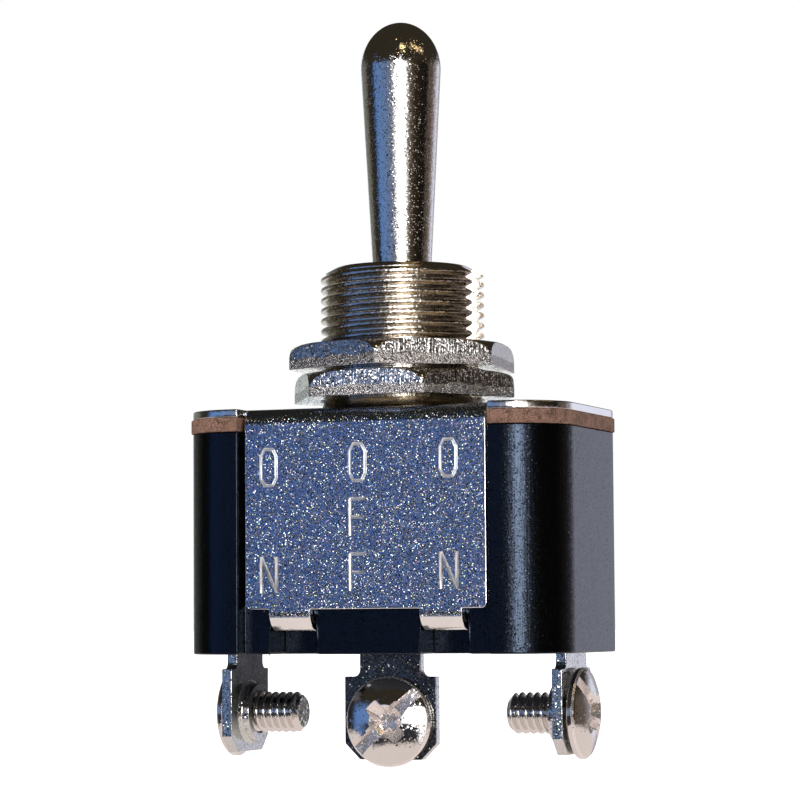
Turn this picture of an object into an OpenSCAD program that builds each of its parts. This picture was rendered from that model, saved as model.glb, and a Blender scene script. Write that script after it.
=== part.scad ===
// Panel toggle switch: on - off - on, with a bat lever and screw terminals.
// Millimetres. Z runs along the bushing, X is the way the lever is thrown, -Y is the lettered front.
// The origin is on the bushing's axis at the upper nut's top face, where the bare thread begins.

/* [Bushing] */
// Major diameter of the bushing's thread
thread_d = 12; // [11:0.1:14]
// Depth of the bushing's thread
thread_depth = 0.46; // [0.3:0.02:0.6]
// Pitch of the bushing's thread
thread_pitch = 0.75; // [0.6:0.05:1.25]
// Width of the thread's crests
thread_crest = 0.2; // [0.1:0.02:0.3]
// Width of the thread's roots
thread_root = 0.08; // [0.04:0.02:0.12]
// Height of the bushing above the frame's plate
bushing_h = 10.55; // [9.5:0.05:13]
// Width of the chamfer round the bushing's top rim
rim_chamfer_w = 1.1; // [0.5:0.05:1.4]
// Height of that chamfer
rim_chamfer_h = 0.65; // [0.3:0.05:1]
// Wall between the thread's crest and the ball's bore
bushing_wall = 2.05; // [1.9:0.05:2.4]
// Width of the keyway down the thread
keyway_w = 2.4; // [1.2:0.1:3]
// Depth of the keyway
keyway_depth = 0.9; // [0.5:0.05:1.1]
// Step from the thread to the shoulder under the lower nut
shoulder_step = 0.25; // [0.15:0.05:0.6]
// Height of the shoulder
shoulder_h = 0.75; // [0.5:0.05:1.5]
// Depth of the slots that the pivot pin's ends turn in
pin_slot_depth = 0.8; // [0.5:0.05:0.9]
// Wall of the spigot that passes through the plate
spigot_wall = 0.65; // [0.5:0.05:0.9]
// Lip of the staked flange under the plate
stake_lip = 0.6; // [0.4:0.05:0.7]
// Depth of the straight bore below the pivot
bore_straight = 3.5; // [3:0.1:4]
// Thickness of the staked flange
stake_t = 0.6; // [0.4:0.05:0.8]

/* [Nuts] */
// Size of the nuts across their flats
nut_af = 15; // [14.5:0.1:17]
// Thickness of each nut
nut_t = 1.85; // [1.4:0.05:2]
// Gap between the two nuts
nut_gap = 0.3; // [0.1:0.05:1]
// Radius of the rolled upper edge of each nut
nut_roll = 1.1; // [0.7:0.05:1.2]
// Rounding of the nuts' corners
nut_corner_cut = 0.06; // [0.04:0.01:0.2]
// Countersink at both ends of the nuts' threads
nut_countersink = 0.3; // [0.1:0.05:0.4]
// Angle of the upper nut
upper_nut_deg = 38; // [0:1:59]
// Angle of the lower nut
lower_nut_deg = 0; // [0:1:59]

/* [Lever] */
// Height of the lever above the bushing
lever_h = 18.27; // [15:0.1:24]
// Largest diameter of the bat
bat_d = 5.9; // [5:0.1:7]
// Height of the bat's rounded end
bat_dome_h = 3.5; // [3:0.1:4.5]
// Diameter of the lever's neck
neck_d = 4.3; // [3.6:0.1:4.8]
// Depth of the pivot below the bushing's top
pivot_depth = 5.05; // [4.6:0.05:5.6]
// Throw of the lever to each side, in degrees
throw_deg = 14; // [10:1:15]
// Lip that holds the ball, as a step in from its bore
seat_lip = 0.65; // [0.4:0.05:0.8]
// Diameter of the nose below the ball
nose_d = 4.8; // [4.6:0.1:5.2]
// Length of the nose below the pivot
nose_l = 10.4; // [9.5:0.1:11]
// Diameter of the pivot pin
pin_d = 1.5; // [1:0.1:1.8]

/* [Plunger and spring] */
// Diameter of the plunger
plunger_d = 3.3; // [2.8:0.1:3.5]
// Reach of the plunger's tip below the pivot
plunger_reach = 13.85; // [13.2:0.05:14.2]
// Length of the plunger
plunger_l = 6.45; // [5.5:0.05:7]
// Metal left between the pivot pin and the spring's bore
bore_roof = 0.55; // [0.3:0.05:0.9]
// Diameter of the spring's wire
wire_d = 0.4; // [0.3:0.05:0.5]
// Gap at each end of the spring
spring_gap = 0.02; // [0.01:0.01:0.05]
// Turns of the spring
spring_turns = 7; // [5:1:9]

/* [Frame] */
// Thickness of the frame's steel
steel_t = 0.6; // [0.5:0.05:0.8]
// Width of the front and rear skirts
skirt_w = 18.4; // [16:0.1:19]
// Distance of each skirt's face behind the case's end faces
skirt_inset = 0.55; // [0.4:0.05:0.8]
// Outer radius of the bends at the top
bend_r = 1.25; // [0.9:0.05:1.6]
// Distance between the centres of a skirt's two tabs
tab_pitch = 11.5; // [10:0.1:12.5]
// Width of each tab
tab_w = 3.2; // [2.6:0.1:3.4]
// Outer radius of the tabs' bend
tab_bend_r = 1.4; // [1.1:0.05:1.5]
// Drop from a skirt's lower edge to the underside of its tabs
tab_drop = 1.55; // [1.5:0.05:2]
// Length of each tab under its ledge
tab_l = 2.75; // [2:0.05:3]
// Radius of the skirts' lower corners and of the tabs' roots
skirt_corner_r = 0.25; // [0.1:0.05:0.4]

/* [Lettering] */
// Height of the letters
letter_h = 2.72; // [2:0.05:3]
// Width of the letters
letter_w = 1.32; // [1:0.02:1.6]
// Width of the stamped strokes
stroke = 0.2; // [0.14:0.02:0.3]
// Depth of the stamped strokes
stamp_depth = 0.12; // [0.05:0.01:0.2]
// Distance between the columns of letters
column_pitch = 6.84; // [6:0.05:7.4]
// Distance between the rows of letters
row_pitch = 3.88; // [3.4:0.02:4]
// Depth of the first row below the plate's top
first_row = 4.04; // [3.6:0.02:4.6]
// Sideways offset of the stamping
stamp_shift = -0.46; // [-0.8:0.02:0.8]
// Lean of the stamping
stamp_tilt = 1; // [0:0.1:2]

/* [Insulator] */
// Thickness of the fibre insulator
fibre_t = 1; // [0.8:0.05:1.4]
// Overhang of the fibre past the case
fibre_overhang = 0.1; // [0:0.05:0.2]

/* [Case] */
// Length of the case
case_w = 29; // [28.6:0.1:32]
// Depth of the case, front to rear
case_d = 17; // [16.6:0.1:20]
// Height of the case
case_h = 16; // [15.6:0.1:19]
// Radius of the case's upright corners
case_r = 4.2; // [3.5:0.1:4.4]
// Width of the front and rear recesses
recess_w = 19; // [18.6:0.1:20]
// Depth of the recesses
recess_depth = 1.25; // [1.15:0.05:1.4]
// Thickness of the end walls
end_wall = 1.38; // [1.2:0.02:1.6]
// Thickness of the front and rear walls
side_wall = 1.75; // [1.4:0.05:2]
// Thickness of the floor
floor_t = 3.6; // [3.2:0.05:4]
// Radius of the cavity's upright corners
cavity_r = 0.8; // [0.4:0.1:1.5]
// Width of the notches under the tabs
notch_w = 3.7; // [3.5:0.1:4.2]
// Depth of the notches behind the recess
notch_depth = 3.05; // [2.8:0.05:3.4]
// Height of the notches' ledges above the case's underside
notch_h = 2.25; // [2:0.05:2.6]
// Length of the blocks that carry the end contacts
block_l = 5.6; // [4.5:0.1:5.8]

/* [Terminals] */
// Thickness of the terminals' metal
lug_t = 0.8; // [0.6:0.05:1]
// Width of the end lugs
lug_w = 6.7; // [6:0.1:7.6]
// Length of the end lugs' wide part
lug_l = 6.1; // [5.8:0.05:7]
// Width of the centre lug
centre_lug_w = 7.05; // [6.5:0.05:7.6]
// Length of the centre lug's wide part
centre_lug_l = 5.95; // [5.8:0.05:7]
// Width of the necks
neck_w = 4.7; // [4:0.1:5]
// Exposed length of the end terminals' necks
end_neck_l = 1.1; // [0.8:0.05:2]
// Exposed length of the centre terminal's neck
centre_neck_l = 1.65; // [1:0.05:2.5]
// Distance of the centre lug's face in front of the axis
centre_lug_y = 3; // [2.6:0.05:3.2]
// Distance of each screw below its lug's shoulders
screw_drop = 3.2; // [3:0.05:3.4]
// Chamfer on the lugs' lower corners
lug_chamfer = 1.15; // [0.6:0.05:1.5]
// Radius where a neck meets its shoulders
shoulder_fillet = 0.5; // [0.2:0.05:0.8]
// Height of the threaded boss on each lug
boss_h = 0.8; // [0.4:0.05:1.2]
// Wall of the threaded boss
boss_wall = 0.6; // [0.4:0.05:0.8]
// Flare at the root of each boss
boss_flare = 0.25; // [0.1:0.05:0.35]
// Inside radius of the end terminals' bend
lug_bend_r = 0.3; // [0.1:0.05:0.6]
// Width of the centre terminal's base past each side of its neck
base_margin = 0.3; // [0.1:0.05:0.8]
// Metal past the edge of each fixed contact
shelf_margin = 0.5; // [0.2:0.05:0.8]
// Height of the cradle's ears above the rocker's axis
ear_rise = 1; // [0.8:0.05:1.2]

/* [Terminal screws] */
// Thread diameter of the terminal screws
screw_d = 3; // [2.5:0.1:3.5]
// Length of the screws under their heads
screw_l = 5.1; // [4:0.1:7]
// Diameter of the screws' heads
head_d = 6.5; // [5.6:0.1:6.6]
// Height of the heads' side wall
head_rim_h = 0.65; // [0.6:0.05:0.9]
// Height of the heads' dome
head_dome_h = 0.65; // [0.4:0.05:0.8]
// Width of the slot across each head
slot_w = 0.85; // [0.6:0.05:1.1]
// Depth of the slot below the top of the rim
slot_depth = 0.1; // [0:0.05:0.3]
// Length of the cross recess
cross_l = 3.8; // [3:0.1:4.4]
// Depth of the cross recess below the top of the rim
cross_depth = 0.5; // [0.3:0.05:0.6]
// Chamfer on the tips of the screws
screw_chamfer = 0.4; // [0.2:0.05:0.6]
// Gap left under the right-hand screw's head
right_screw_gap = 0.2; // [0:0.05:0.6]
// Angle of the left screw's slot
left_slot_deg = 20; // [0:1:179]
// Angle of the centre screw's slot
centre_slot_deg = 36; // [0:1:179]
// Angle of the right screw's slot
right_slot_deg = 62; // [0:1:179]

/* [Contacts] */
// Distance of the end contacts from the case's end walls
contact_inset = 4.12; // [3.9:0.02:4.4]
// Diameter of the contact faces
contact_d = 3; // [2.4:0.1:3.2]
// Height of each contact above its carrier
contact_h = 0.5; // [0.3:0.05:0.7]
// Diameter of the contacts' shanks
shank_d = 1.4; // [1:0.1:1.6]
// Gap left between closed contacts
closed_gap = 0.03; // [0.02:0.01:0.1]

/* [Rocker] */
// Share of the lever's angle that the rocker turns, the other way
rocker_ratio = 0.5; // [0.4:0.01:0.55]
// Depth of the rocker's pivot below its dish
rocker_pivot_depth = 0.9; // [0.8:0.05:1]
// Thickness of the rocker's arms
arm_t = 1; // [0.8:0.05:1.2]
// Width of the rocker
rocker_w = 4.6; // [4:0.1:4.8]
// Length of the arms past the contacts' centres
arm_tail = 1.7; // [1.6:0.1:1.9]
// Half length of the rocker's saddle
saddle_l = 4.8; // [4.6:0.1:5.2]
// Height of the saddle's horns above the pivot
saddle_h = 2.3; // [2.2:0.05:2.5]
// Diameter of the rocker's trunnions
trunnion_d = 1.1; // [0.9:0.05:1.2]
// Gap between the rocker and the cradle's ears
ear_gap = 0.5; // [0.3:0.05:0.7]
// Half width of the cradle's ears
ear_half_w = 2; // [1.8:0.1:2.2]

/* [Fits] */
// Radial clearance of pieces that turn or slide in each other
fit = 0.05; // [0.02:0.01:0.08]
// Clearance round pieces that swing past each other
swing_gap = 0.12; // [0.1:0.01:0.3]

/* [Hidden] */
$fn = 96;
// How far a cutting tool runs past the faces that it opens
cut = 1;

thread_r = thread_d / 2;
engaged_r = thread_r - thread_depth / 2;
plate_z = -(shoulder_h + fit + 2 * nut_t + nut_gap);
frame_under_z = plate_z - steel_t;
top_z = plate_z + bushing_h;
pivot_z = top_z - pivot_depth;
shoulder_z = plate_z + shoulder_h;
thread_top = top_z - rim_chamfer_h;
thread_rings = floor(thread_top / thread_pitch);
first_ring = (thread_top - (thread_rings - 1) * thread_pitch) / 2;
stake_z = frame_under_z - stake_t;

// Radius that a leaning round bar reaches at a height above or below the pivot
function sweep_r(height, bar_r) = height * tan(throw_deg) + bar_r / cos(throw_deg);

ball_bore_r = thread_r - bushing_wall;
ball_r = ball_bore_r - fit;
lip_r = ball_bore_r - seat_lip;
lip_rise = sqrt(pow(ball_bore_r, 2) - pow(lip_r, 2));
mouth_r = sweep_r(pivot_depth, neck_d / 2) + swing_gap;
skirt_bore_r = sweep_r(pivot_z - stake_z, nose_d / 2) + swing_gap;
spigot_r = skirt_bore_r + spigot_wall;
pin_l = 2 * (ball_bore_r + pin_slot_depth - 2 * fit);

plunger_r = plunger_d / 2;
tip_centre = plunger_reach - plunger_r;
bore_roof_z = -(pin_d / 2 + bore_roof);
plunger_top_z = plunger_l - plunger_reach;

fibre_z = frame_under_z - fibre_t;
case_z = fibre_z - case_h;
cavity_x = case_w / 2 - end_wall;
contact_x = cavity_x - contact_inset;
cavity_y = case_d / 2 - recess_depth - side_wall;
floor_z = case_z + floor_t;
ledge_z = case_z + notch_h;
skirt_y = case_d / 2 - skirt_inset;
tab_z = ledge_z - steel_t;
skirt_z = tab_z + tab_drop;
ledge_round = tab_bend_r - steel_t - (recess_depth - skirt_inset - steel_t);

// The rocker's dish follows the tip of the plunger, so it is worked out from the lever's throw
rocker_throw = rocker_ratio * throw_deg;
rocker_z = pivot_z - plunger_reach - fit - rocker_pivot_depth;
pivot_drop = pivot_z - rocker_z;
tip_x = tip_centre * sin(throw_deg) * cos(rocker_throw)
    - (pivot_drop - tip_centre * cos(throw_deg)) * sin(rocker_throw);
tip_end = tip_centre * sin(throw_deg) * sin(rocker_throw)
    + (pivot_drop - tip_centre * cos(throw_deg)) * cos(rocker_throw);
tip_rise = tip_end - (pivot_drop - tip_centre);
path_r = (pow(tip_x, 2) + pow(tip_rise, 2)) / (2 * tip_rise);
dish_r = path_r + plunger_r + fit;

shelf_z = rocker_z - arm_t / 2 - contact_h - closed_gap - contact_h;
ear_y = rocker_w / 2 + ear_gap;
lug_corner = lug_t + lug_bend_r;
screw_r = screw_d / 2;
boss_r = screw_r + boss_wall;

steel_colour = [0.78, 0.79, 0.8];
bright_colour = [0.86, 0.86, 0.85];
contact_colour = [0.85, 0.83, 0.78];

// A plate with rounded upright corners, standing on Z = 0
module rounded_block(w, d, h, r) {
    linear_extrude(h)
        rounded_rect(w, d, r);
}

module rounded_rect(w, d, r) {
    union() {
        square([w - 2 * r, d], center = true);
        square([w, d - 2 * r], center = true);
        for (x = [-1, 1], y = [-1, 1])
            translate([x * (w / 2 - r), y * (d / 2 - r)])
                circle(r);
    }
}

// Copies the children to the front and to the rear, where they face outward
module front_and_rear() {
    for (turn = [0, 180])
        rotate([0, 0, turn])
            children();
}

// One skirt's pair of tab positions
module at_tabs() {
    for (side = [-1, 1])
        translate([side * tab_pitch / 2, 0, 0])
            children();
}

// ---- Case and insulator ----

module case_outline() {
    difference() {
        rounded_rect(case_w, case_d, case_r);
        for (side = [-1, 1])
            translate([0, side * (case_d / 2 + cut / 2 - recess_depth / 2)])
                square([recess_w, recess_depth + cut], center = true);
    }
}

module ledge_notch() {
    notch_front = -case_d / 2 + recess_depth;
    translate([-notch_w / 2, notch_front - cut, case_z - cut])
        cube([notch_w, notch_depth + cut, notch_h + cut]);
    difference() {
        translate([-notch_w / 2, notch_front - cut, ledge_z - cut])
            cube([notch_w, cut + ledge_round, cut + ledge_round]);
        translate([-notch_w / 2 - cut, notch_front + ledge_round, ledge_z + ledge_round])
            rotate([0, 90, 0])
                cylinder(r = ledge_round, h = notch_w + 2 * cut);
    }
}

module case() {
    block_h = shelf_z - lug_t - floor_z + cut;
    color([0.03, 0.03, 0.04])
        difference() {
            translate([0, 0, case_z])
                linear_extrude(case_h)
                    case_outline();
            difference() {
                translate([0, 0, floor_z])
                    rounded_block(2 * cavity_x, 2 * cavity_y, case_h, cavity_r);
                for (side = [-1, 1])
                    translate([side * (cavity_x - block_l / 2), 0, shelf_z - lug_t - block_h / 2])
                        cube([block_l, 2 * cavity_y + cut, block_h], center = true);
            }
            front_and_rear()
                at_tabs()
                    ledge_notch();
            for (side = [-1, 1]) {
                translate([side * (cavity_x - lug_t / 2), 0, case_z + case_h / 2 - cut])
                    cube([lug_t, neck_w, case_h], center = true);
                translate([side * (cavity_x - lug_corner / 2), 0, shelf_z - lug_corner + case_h / 2])
                    cube([lug_corner, neck_w, case_h], center = true);
            }
            translate([0, lug_t / 2 - centre_lug_y, case_z])
                cube([neck_w, lug_t, 2 * floor_t + cut], center = true);
        }
}

module fibre_insulator() {
    color([0.45, 0.27, 0.2])
        translate([0, 0, fibre_z])
            linear_extrude(fibre_t)
                difference() {
                    rounded_rect(case_w + 2 * fibre_overhang, case_d + 2 * fibre_overhang, case_r);
                    skirt_gaps();
                    circle(spigot_r + stake_lip + swing_gap);
                }
}

// Clears the sheets on top of the case where the skirts bend down
module skirt_gaps() {
    for (side = [-1, 1])
        translate([0, side * (skirt_y - bend_r + case_d / 2)])
            square([recess_w, case_d], center = true);
}

// ---- Frame ----

// A quarter bend of sheet along X, rounding the corner that turn gives
module sheet_bend(r, w, turn) {
    rotate([90, 0, 90])
        linear_extrude(w, center = true)
            rotate(turn)
                bend_section(r, steel_t);
}

// The section of a quarter bend, with a short straight tail at each end inside the sheet that it joins
module bend_section(r, t) {
    intersection() {
        difference() {
            circle(r);
            circle(r - t);
        }
        square(r);
    }
    translate([-t / 2, r - t])
        square([t / 2, t]);
    translate([r - t, -t / 2])
        square([t, t / 2]);
}

// The fillet in an inside corner, filling the quarter above and to the right
module fillet(r) {
    difference() {
        square(r);
        translate([r, r])
            circle(r);
    }
}

// A skirt's flat outline with the roots of its tabs, in X and Z
module skirt_outline() {
    root_r = skirt_corner_r;
    bend_start = tab_z + tab_bend_r;
    skirt_h = plate_z - bend_r - skirt_z;
    translate([0, skirt_z + skirt_h / 2])
        square([skirt_w - 2 * root_r, skirt_h], center = true);
    translate([0, skirt_z + root_r + (skirt_h - root_r) / 2])
        square([skirt_w, skirt_h - root_r], center = true);
    for (side = [-1, 1])
        translate([side * (skirt_w / 2 - root_r), skirt_z + root_r])
            circle(root_r);
    for (tab = [-1, 1])
        translate([tab * tab_pitch / 2, 0]) {
            translate([-tab_w / 2, bend_start])
                square([tab_w, skirt_z - bend_start + root_r]);
            for (side = [0, 1])
                mirror([side, 0])
                    translate([tab_w / 2, skirt_z])
                        mirror([0, 1])
                            fillet(root_r);
        }
}

module skirt() {
    translate([0, bend_r - skirt_y, plate_z - bend_r])
        sheet_bend(bend_r, skirt_w, 90);
    translate([0, steel_t - skirt_y, 0])
        rotate([90, 0, 0])
            linear_extrude(steel_t)
                skirt_outline();
    at_tabs() {
        translate([0, tab_bend_r - skirt_y, tab_z + tab_bend_r])
            sheet_bend(tab_bend_r, tab_w, 180);
        translate([-tab_w / 2, tab_bend_r - skirt_y, tab_z])
            cube([tab_w, tab_l - tab_bend_r, steel_t]);
    }
}

// A stamped stroke from one point to another
module bar(from, to) {
    run = to - from;
    translate(from)
        rotate(atan2(run.y, run.x))
            translate([0, -stroke / 2])
                square([norm(run), stroke]);
}

module letter_o() {
    corner = letter_w * 0.45;
    difference() {
        rounded_rect(letter_w, letter_h, corner);
        rounded_rect(letter_w - 2 * stroke, letter_h - 2 * stroke, corner - stroke);
    }
}

module letter_f() {
    left = (stroke - letter_w) / 2;
    high = (letter_h - stroke) / 2;
    bar([left, -letter_h / 2], [left, letter_h / 2]);
    bar([left, high], [letter_w / 2, high]);
    bar([left, 0], [letter_w / 2, 0]);
}

module letter_n() {
    edge = (letter_w - stroke) / 2;
    bar([-edge, -letter_h / 2], [-edge, letter_h / 2]);
    bar([edge, -letter_h / 2], [edge, letter_h / 2]);
    bar([-edge, letter_h / 2], [edge, -letter_h / 2]);
}

// ON at each side and OFF between them, read down the columns
module lettering() {
    for (side = [-1, 1])
        translate([side * column_pitch, 0]) {
            letter_o();
            translate([0, -2 * row_pitch])
                letter_n();
        }
    letter_o();
    for (row = [1, 2])
        translate([0, -row * row_pitch])
            letter_f();
}

module steel_frame() {
    color(steel_colour)
        difference() {
            union() {
                translate([0, 0, frame_under_z])
                    linear_extrude(steel_t)
                        difference() {
                            rounded_rect(case_w, case_d, case_r);
                            skirt_gaps();
                            circle(spigot_r);
                        }
                front_and_rear()
                    skirt();
            }
            translate([stamp_shift, stamp_depth - skirt_y, plate_z - first_row])
                rotate([90, -stamp_tilt, 0])
                    linear_extrude(cut)
                        lettering();
        }
}

// ---- Bushing and lever ----

// The corners of one ring of the thread, cut into the wall at a height
function thread_groove(z) = [
    [thread_r, z - (thread_pitch - thread_crest) / 2],
    [thread_r - thread_depth, z - thread_root / 2],
    [thread_r - thread_depth, z + thread_root / 2],
    [thread_r, z + (thread_pitch - thread_crest) / 2]
];

module bushing() {
    slot_r = pin_d / 2 + fit;
    slot_l = 2 * (ball_bore_r + pin_slot_depth);
    color(bright_colour)
        difference() {
            rotate_extrude()
                polygon([
                    [0, stake_z],
                    [spigot_r + stake_lip, stake_z],
                    [spigot_r + stake_lip, frame_under_z],
                    [spigot_r, frame_under_z],
                    [spigot_r, plate_z],
                    [thread_r + shoulder_step, plate_z],
                    [thread_r + shoulder_step, shoulder_z],
                    [engaged_r, shoulder_z],
                    [engaged_r, 0],
                    [thread_r, 0],
                    for (ring = [0:1:thread_rings - 1])
                        each thread_groove(first_ring + ring * thread_pitch),
                    [thread_r, thread_top],
                    [thread_r - rim_chamfer_w, top_z],
                    [0, top_z]
                ]);
            translate([0, 0, pivot_z]) {
                sphere(ball_bore_r);
                translate([0, 0, -bore_straight])
                    cylinder(r = ball_bore_r, h = bore_straight);
                translate([0, 0, lip_rise])
                    cylinder(r1 = lip_r, r2 = mouth_r, h = pivot_depth - lip_rise);
                translate([0, 0, pivot_depth])
                    cylinder(r = mouth_r, h = cut);
                rotate([90, 0, 0])
                    cylinder(r = slot_r, h = slot_l, center = true);
                translate([-slot_r, -slot_l / 2, stake_z - pivot_z - cut])
                    cube([2 * slot_r, slot_l, pivot_z - stake_z + cut]);
            }
            translate([0, 0, stake_z - cut])
                cylinder(r = skirt_bore_r, h = cut);
            translate([0, 0, stake_z])
                cylinder(r1 = skirt_bore_r, r2 = ball_bore_r, h = pivot_z - bore_straight - stake_z);
            translate([thread_r - keyway_depth, -keyway_w / 2, shoulder_z])
                cube([keyway_depth + cut, keyway_w, bushing_h + cut]);
        }
}

module lever() {
    tip_z = pivot_depth + lever_h;
    dome_z = tip_z - bat_dome_h;
    color(bright_colour)
        translate([0, 0, pivot_z])
            difference() {
                union() {
                    sphere(ball_r);
                    translate([0, 0, -nose_l])
                        cylinder(d = nose_d, h = nose_l);
                    rotate_extrude()
                        polygon(concat(
                            [[0, 0], [neck_d / 2, 0], [neck_d / 2, pivot_depth]],
                            [for (a = [0:5:85]) [bat_d / 2 * cos(a), dome_z + bat_dome_h * sin(a)]],
                            [[0, tip_z]]
                        ));
                }
                translate([0, 0, -nose_l - cut])
                    cylinder(r = plunger_r + fit, h = nose_l + cut + bore_roof_z);
                rotate([90, 0, 0])
                    cylinder(d = pin_d, h = 3 * ball_r, center = true);
            }
}

module pivot_pin() {
    color(steel_colour)
        translate([0, 0, pivot_z])
            rotate([90, 0, 0])
                cylinder(d = pin_d, h = pin_l, center = true);
}

module plunger() {
    color([0.88, 0.86, 0.8])
        translate([0, 0, pivot_z - tip_centre]) {
            sphere(plunger_r);
            cylinder(r = plunger_r, h = plunger_l - plunger_r);
        }
}

// The spring's height at a share t of its run: closed turns at both ends, open between
function spring_rise(t) = t - sin(360 * t) / 360 * 50;

module plunger_spring() {
    ring_n = 10;
    turn_n = 20;
    coil_r = plunger_r - wire_d / 2;
    low = plunger_top_z + wire_d / 2 + spring_gap;
    high = bore_roof_z - wire_d / 2 - spring_gap;
    steps = spring_turns * turn_n;
    points = [
        for (i = [0:steps], j = [0:ring_n - 1])
            let (
                a = 360 * i / turn_n,
                b = 360 * j / ring_n,
                r = coil_r + wire_d / 2 * cos(b),
                z = low + (high - low) * spring_rise(i / steps)
            )
            [r * cos(a), r * sin(a), z + wire_d / 2 * sin(b)]
    ];
    sides = [
        for (i = [0:steps - 1], j = [0:ring_n - 1])
            let (k = (j + 1) % ring_n)
            [i * ring_n + j, i * ring_n + k, (i + 1) * ring_n + k, (i + 1) * ring_n + j]
    ];
    ends = [
        [for (j = [ring_n - 1:-1:0]) j],
        [for (j = [0:ring_n - 1]) steps * ring_n + j]
    ];
    color(steel_colour)
        translate([0, 0, pivot_z])
            polyhedron(points, concat(sides, ends));
}

// ---- Rocker and contacts ----

// The children stand on the rocker's arm, over its contact; side is 1 on the right
module on_arm(side) {
    translate([0, 0, rocker_z])
        mirror([side < 0 ? 1 : 0, 0, 0])
            rotate([0, -rocker_throw, 0])
                translate([contact_x, 0, 0])
                    children();
}

module rocker() {
    arm_l = contact_x + arm_tail;
    color([0.72, 0.5, 0.3])
        difference() {
            union() {
                translate([-saddle_l, -rocker_w / 2, rocker_z - arm_t / 2])
                    cube([2 * saddle_l, rocker_w, saddle_h + arm_t / 2]);
                for (side = [-1, 1])
                    on_arm(side)
                        translate([-contact_x, -rocker_w / 2, -arm_t / 2])
                            cube([arm_l, rocker_w, arm_t]);
                translate([0, 0, rocker_z])
                    rotate([90, 0, 0])
                        cylinder(d = trunnion_d, h = 2 * (ear_y + lug_t - fit), center = true);
            }
            translate([0, 0, rocker_z + rocker_pivot_depth + dish_r])
                rotate([90, 0, 0])
                    cylinder(r = dish_r, h = rocker_w + cut, center = true, $fn = 180);
            for (side = [-1, 1])
                on_arm(side)
                    cylinder(d = shank_d, h = 2 * arm_t, center = true);
        }
}

module rocker_contact(side) {
    color(contact_colour)
        on_arm(side) {
            translate([0, 0, -arm_t / 2])
                cylinder(d = shank_d, h = arm_t);
            translate([0, 0, -arm_t / 2 - contact_h])
                cylinder(d = contact_d, h = contact_h);
        }
}

module fixed_contact(side) {
    color(contact_colour)
        translate([side * contact_x, 0, shelf_z]) {
            cylinder(d = contact_d, h = contact_h);
            translate([0, 0, -lug_t])
                cylinder(d = shank_d, h = lug_t);
        }
}

// ---- Terminals ----

// A lug hanging from the origin, with its neck above; the first axis runs across it
module lug_outline(w, l, neck_l) {
    square_h = l - lug_chamfer;
    translate([-neck_w / 2, 0])
        square([neck_w, neck_l]);
    for (side = [0, 1])
        mirror([side, 0])
            translate([neck_w / 2, 0])
                fillet(shoulder_fillet);
    polygon([
        [-w / 2, 0],
        [w / 2, 0],
        [w / 2, -square_h],
        [w / 2 - lug_chamfer, -l],
        [lug_chamfer - w / 2, -l],
        [-w / 2, -square_h]
    ]);
}

// Places a terminal's screw hole; +Z of the children leaves the face under the head
module at_screw(side) {
    if (side == 0)
        translate([0, -centre_lug_y, case_z - centre_neck_l - screw_drop])
            rotate([90, 0, 0])
                children();
    else
        translate([side * cavity_x, 0, case_z - end_neck_l - screw_drop])
            rotate([0, side * 90, 0])
                children();
}

module boss(side) {
    at_screw(side)
        rotate([180, 0, 0]) {
            cylinder(r = boss_r, h = lug_t + boss_h);
            translate([0, 0, lug_t])
                cylinder(r1 = boss_r + boss_flare, r2 = boss_r, h = boss_flare);
        }
}

module screw_bore(side) {
    at_screw(side)
        cylinder(r = screw_r + fit, h = 4 * (lug_t + boss_h), center = true);
}

module end_terminal(side) {
    inner = contact_x - contact_d / 2 - shelf_margin;
    shoulder = case_z - end_neck_l;
    color(steel_colour)
        difference() {
            union() {
                mirror([side < 0 ? 1 : 0, 0, 0]) {
                    translate([cavity_x - lug_t, 0, shoulder])
                        rotate([90, 0, 90])
                            linear_extrude(lug_t)
                                lug_outline(lug_w, lug_l, shelf_z - lug_corner - shoulder);
                    translate([cavity_x - lug_corner, 0, shelf_z - lug_corner])
                        rotate([90, 0, 0])
                            linear_extrude(neck_w, center = true)
                                bend_section(lug_corner, lug_t);
                    translate([inner, -neck_w / 2, shelf_z - lug_t])
                        cube([cavity_x - lug_corner - inner, neck_w, lug_t]);
                }
                boss(side);
            }
            screw_bore(side);
            translate([side * contact_x, 0, shelf_z])
                cylinder(d = shank_d, h = 4 * lug_t, center = true);
        }
}

module centre_terminal() {
    shoulder = case_z - centre_neck_l;
    ear_top = rocker_z + ear_rise;
    base_w = neck_w + 2 * base_margin;
    color(steel_colour)
        difference() {
            union() {
                translate([0, lug_t - centre_lug_y, shoulder])
                    rotate([90, 0, 0])
                        linear_extrude(lug_t)
                            lug_outline(centre_lug_w, centre_lug_l, floor_z + lug_t / 2 - shoulder);
                translate([-base_w / 2, -ear_y - lug_t, floor_z])
                    cube([base_w, 2 * (ear_y + lug_t), lug_t]);
                for (side = [0, 1])
                    mirror([0, side, 0])
                        translate([-ear_half_w, ear_y, floor_z])
                            cube([2 * ear_half_w, lug_t, ear_top - floor_z]);
                boss(0);
            }
            screw_bore(0);
            translate([0, 0, rocker_z])
                rotate([90, 0, 0])
                    cylinder(r = trunnion_d / 2 + fit, h = case_d, center = true);
            translate([-trunnion_d / 2 - fit, -case_d / 2, rocker_z])
                cube([trunnion_d + 2 * fit, case_d, ear_top - rocker_z + cut]);
        }
}

// ---- Screws and nuts ----

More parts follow.
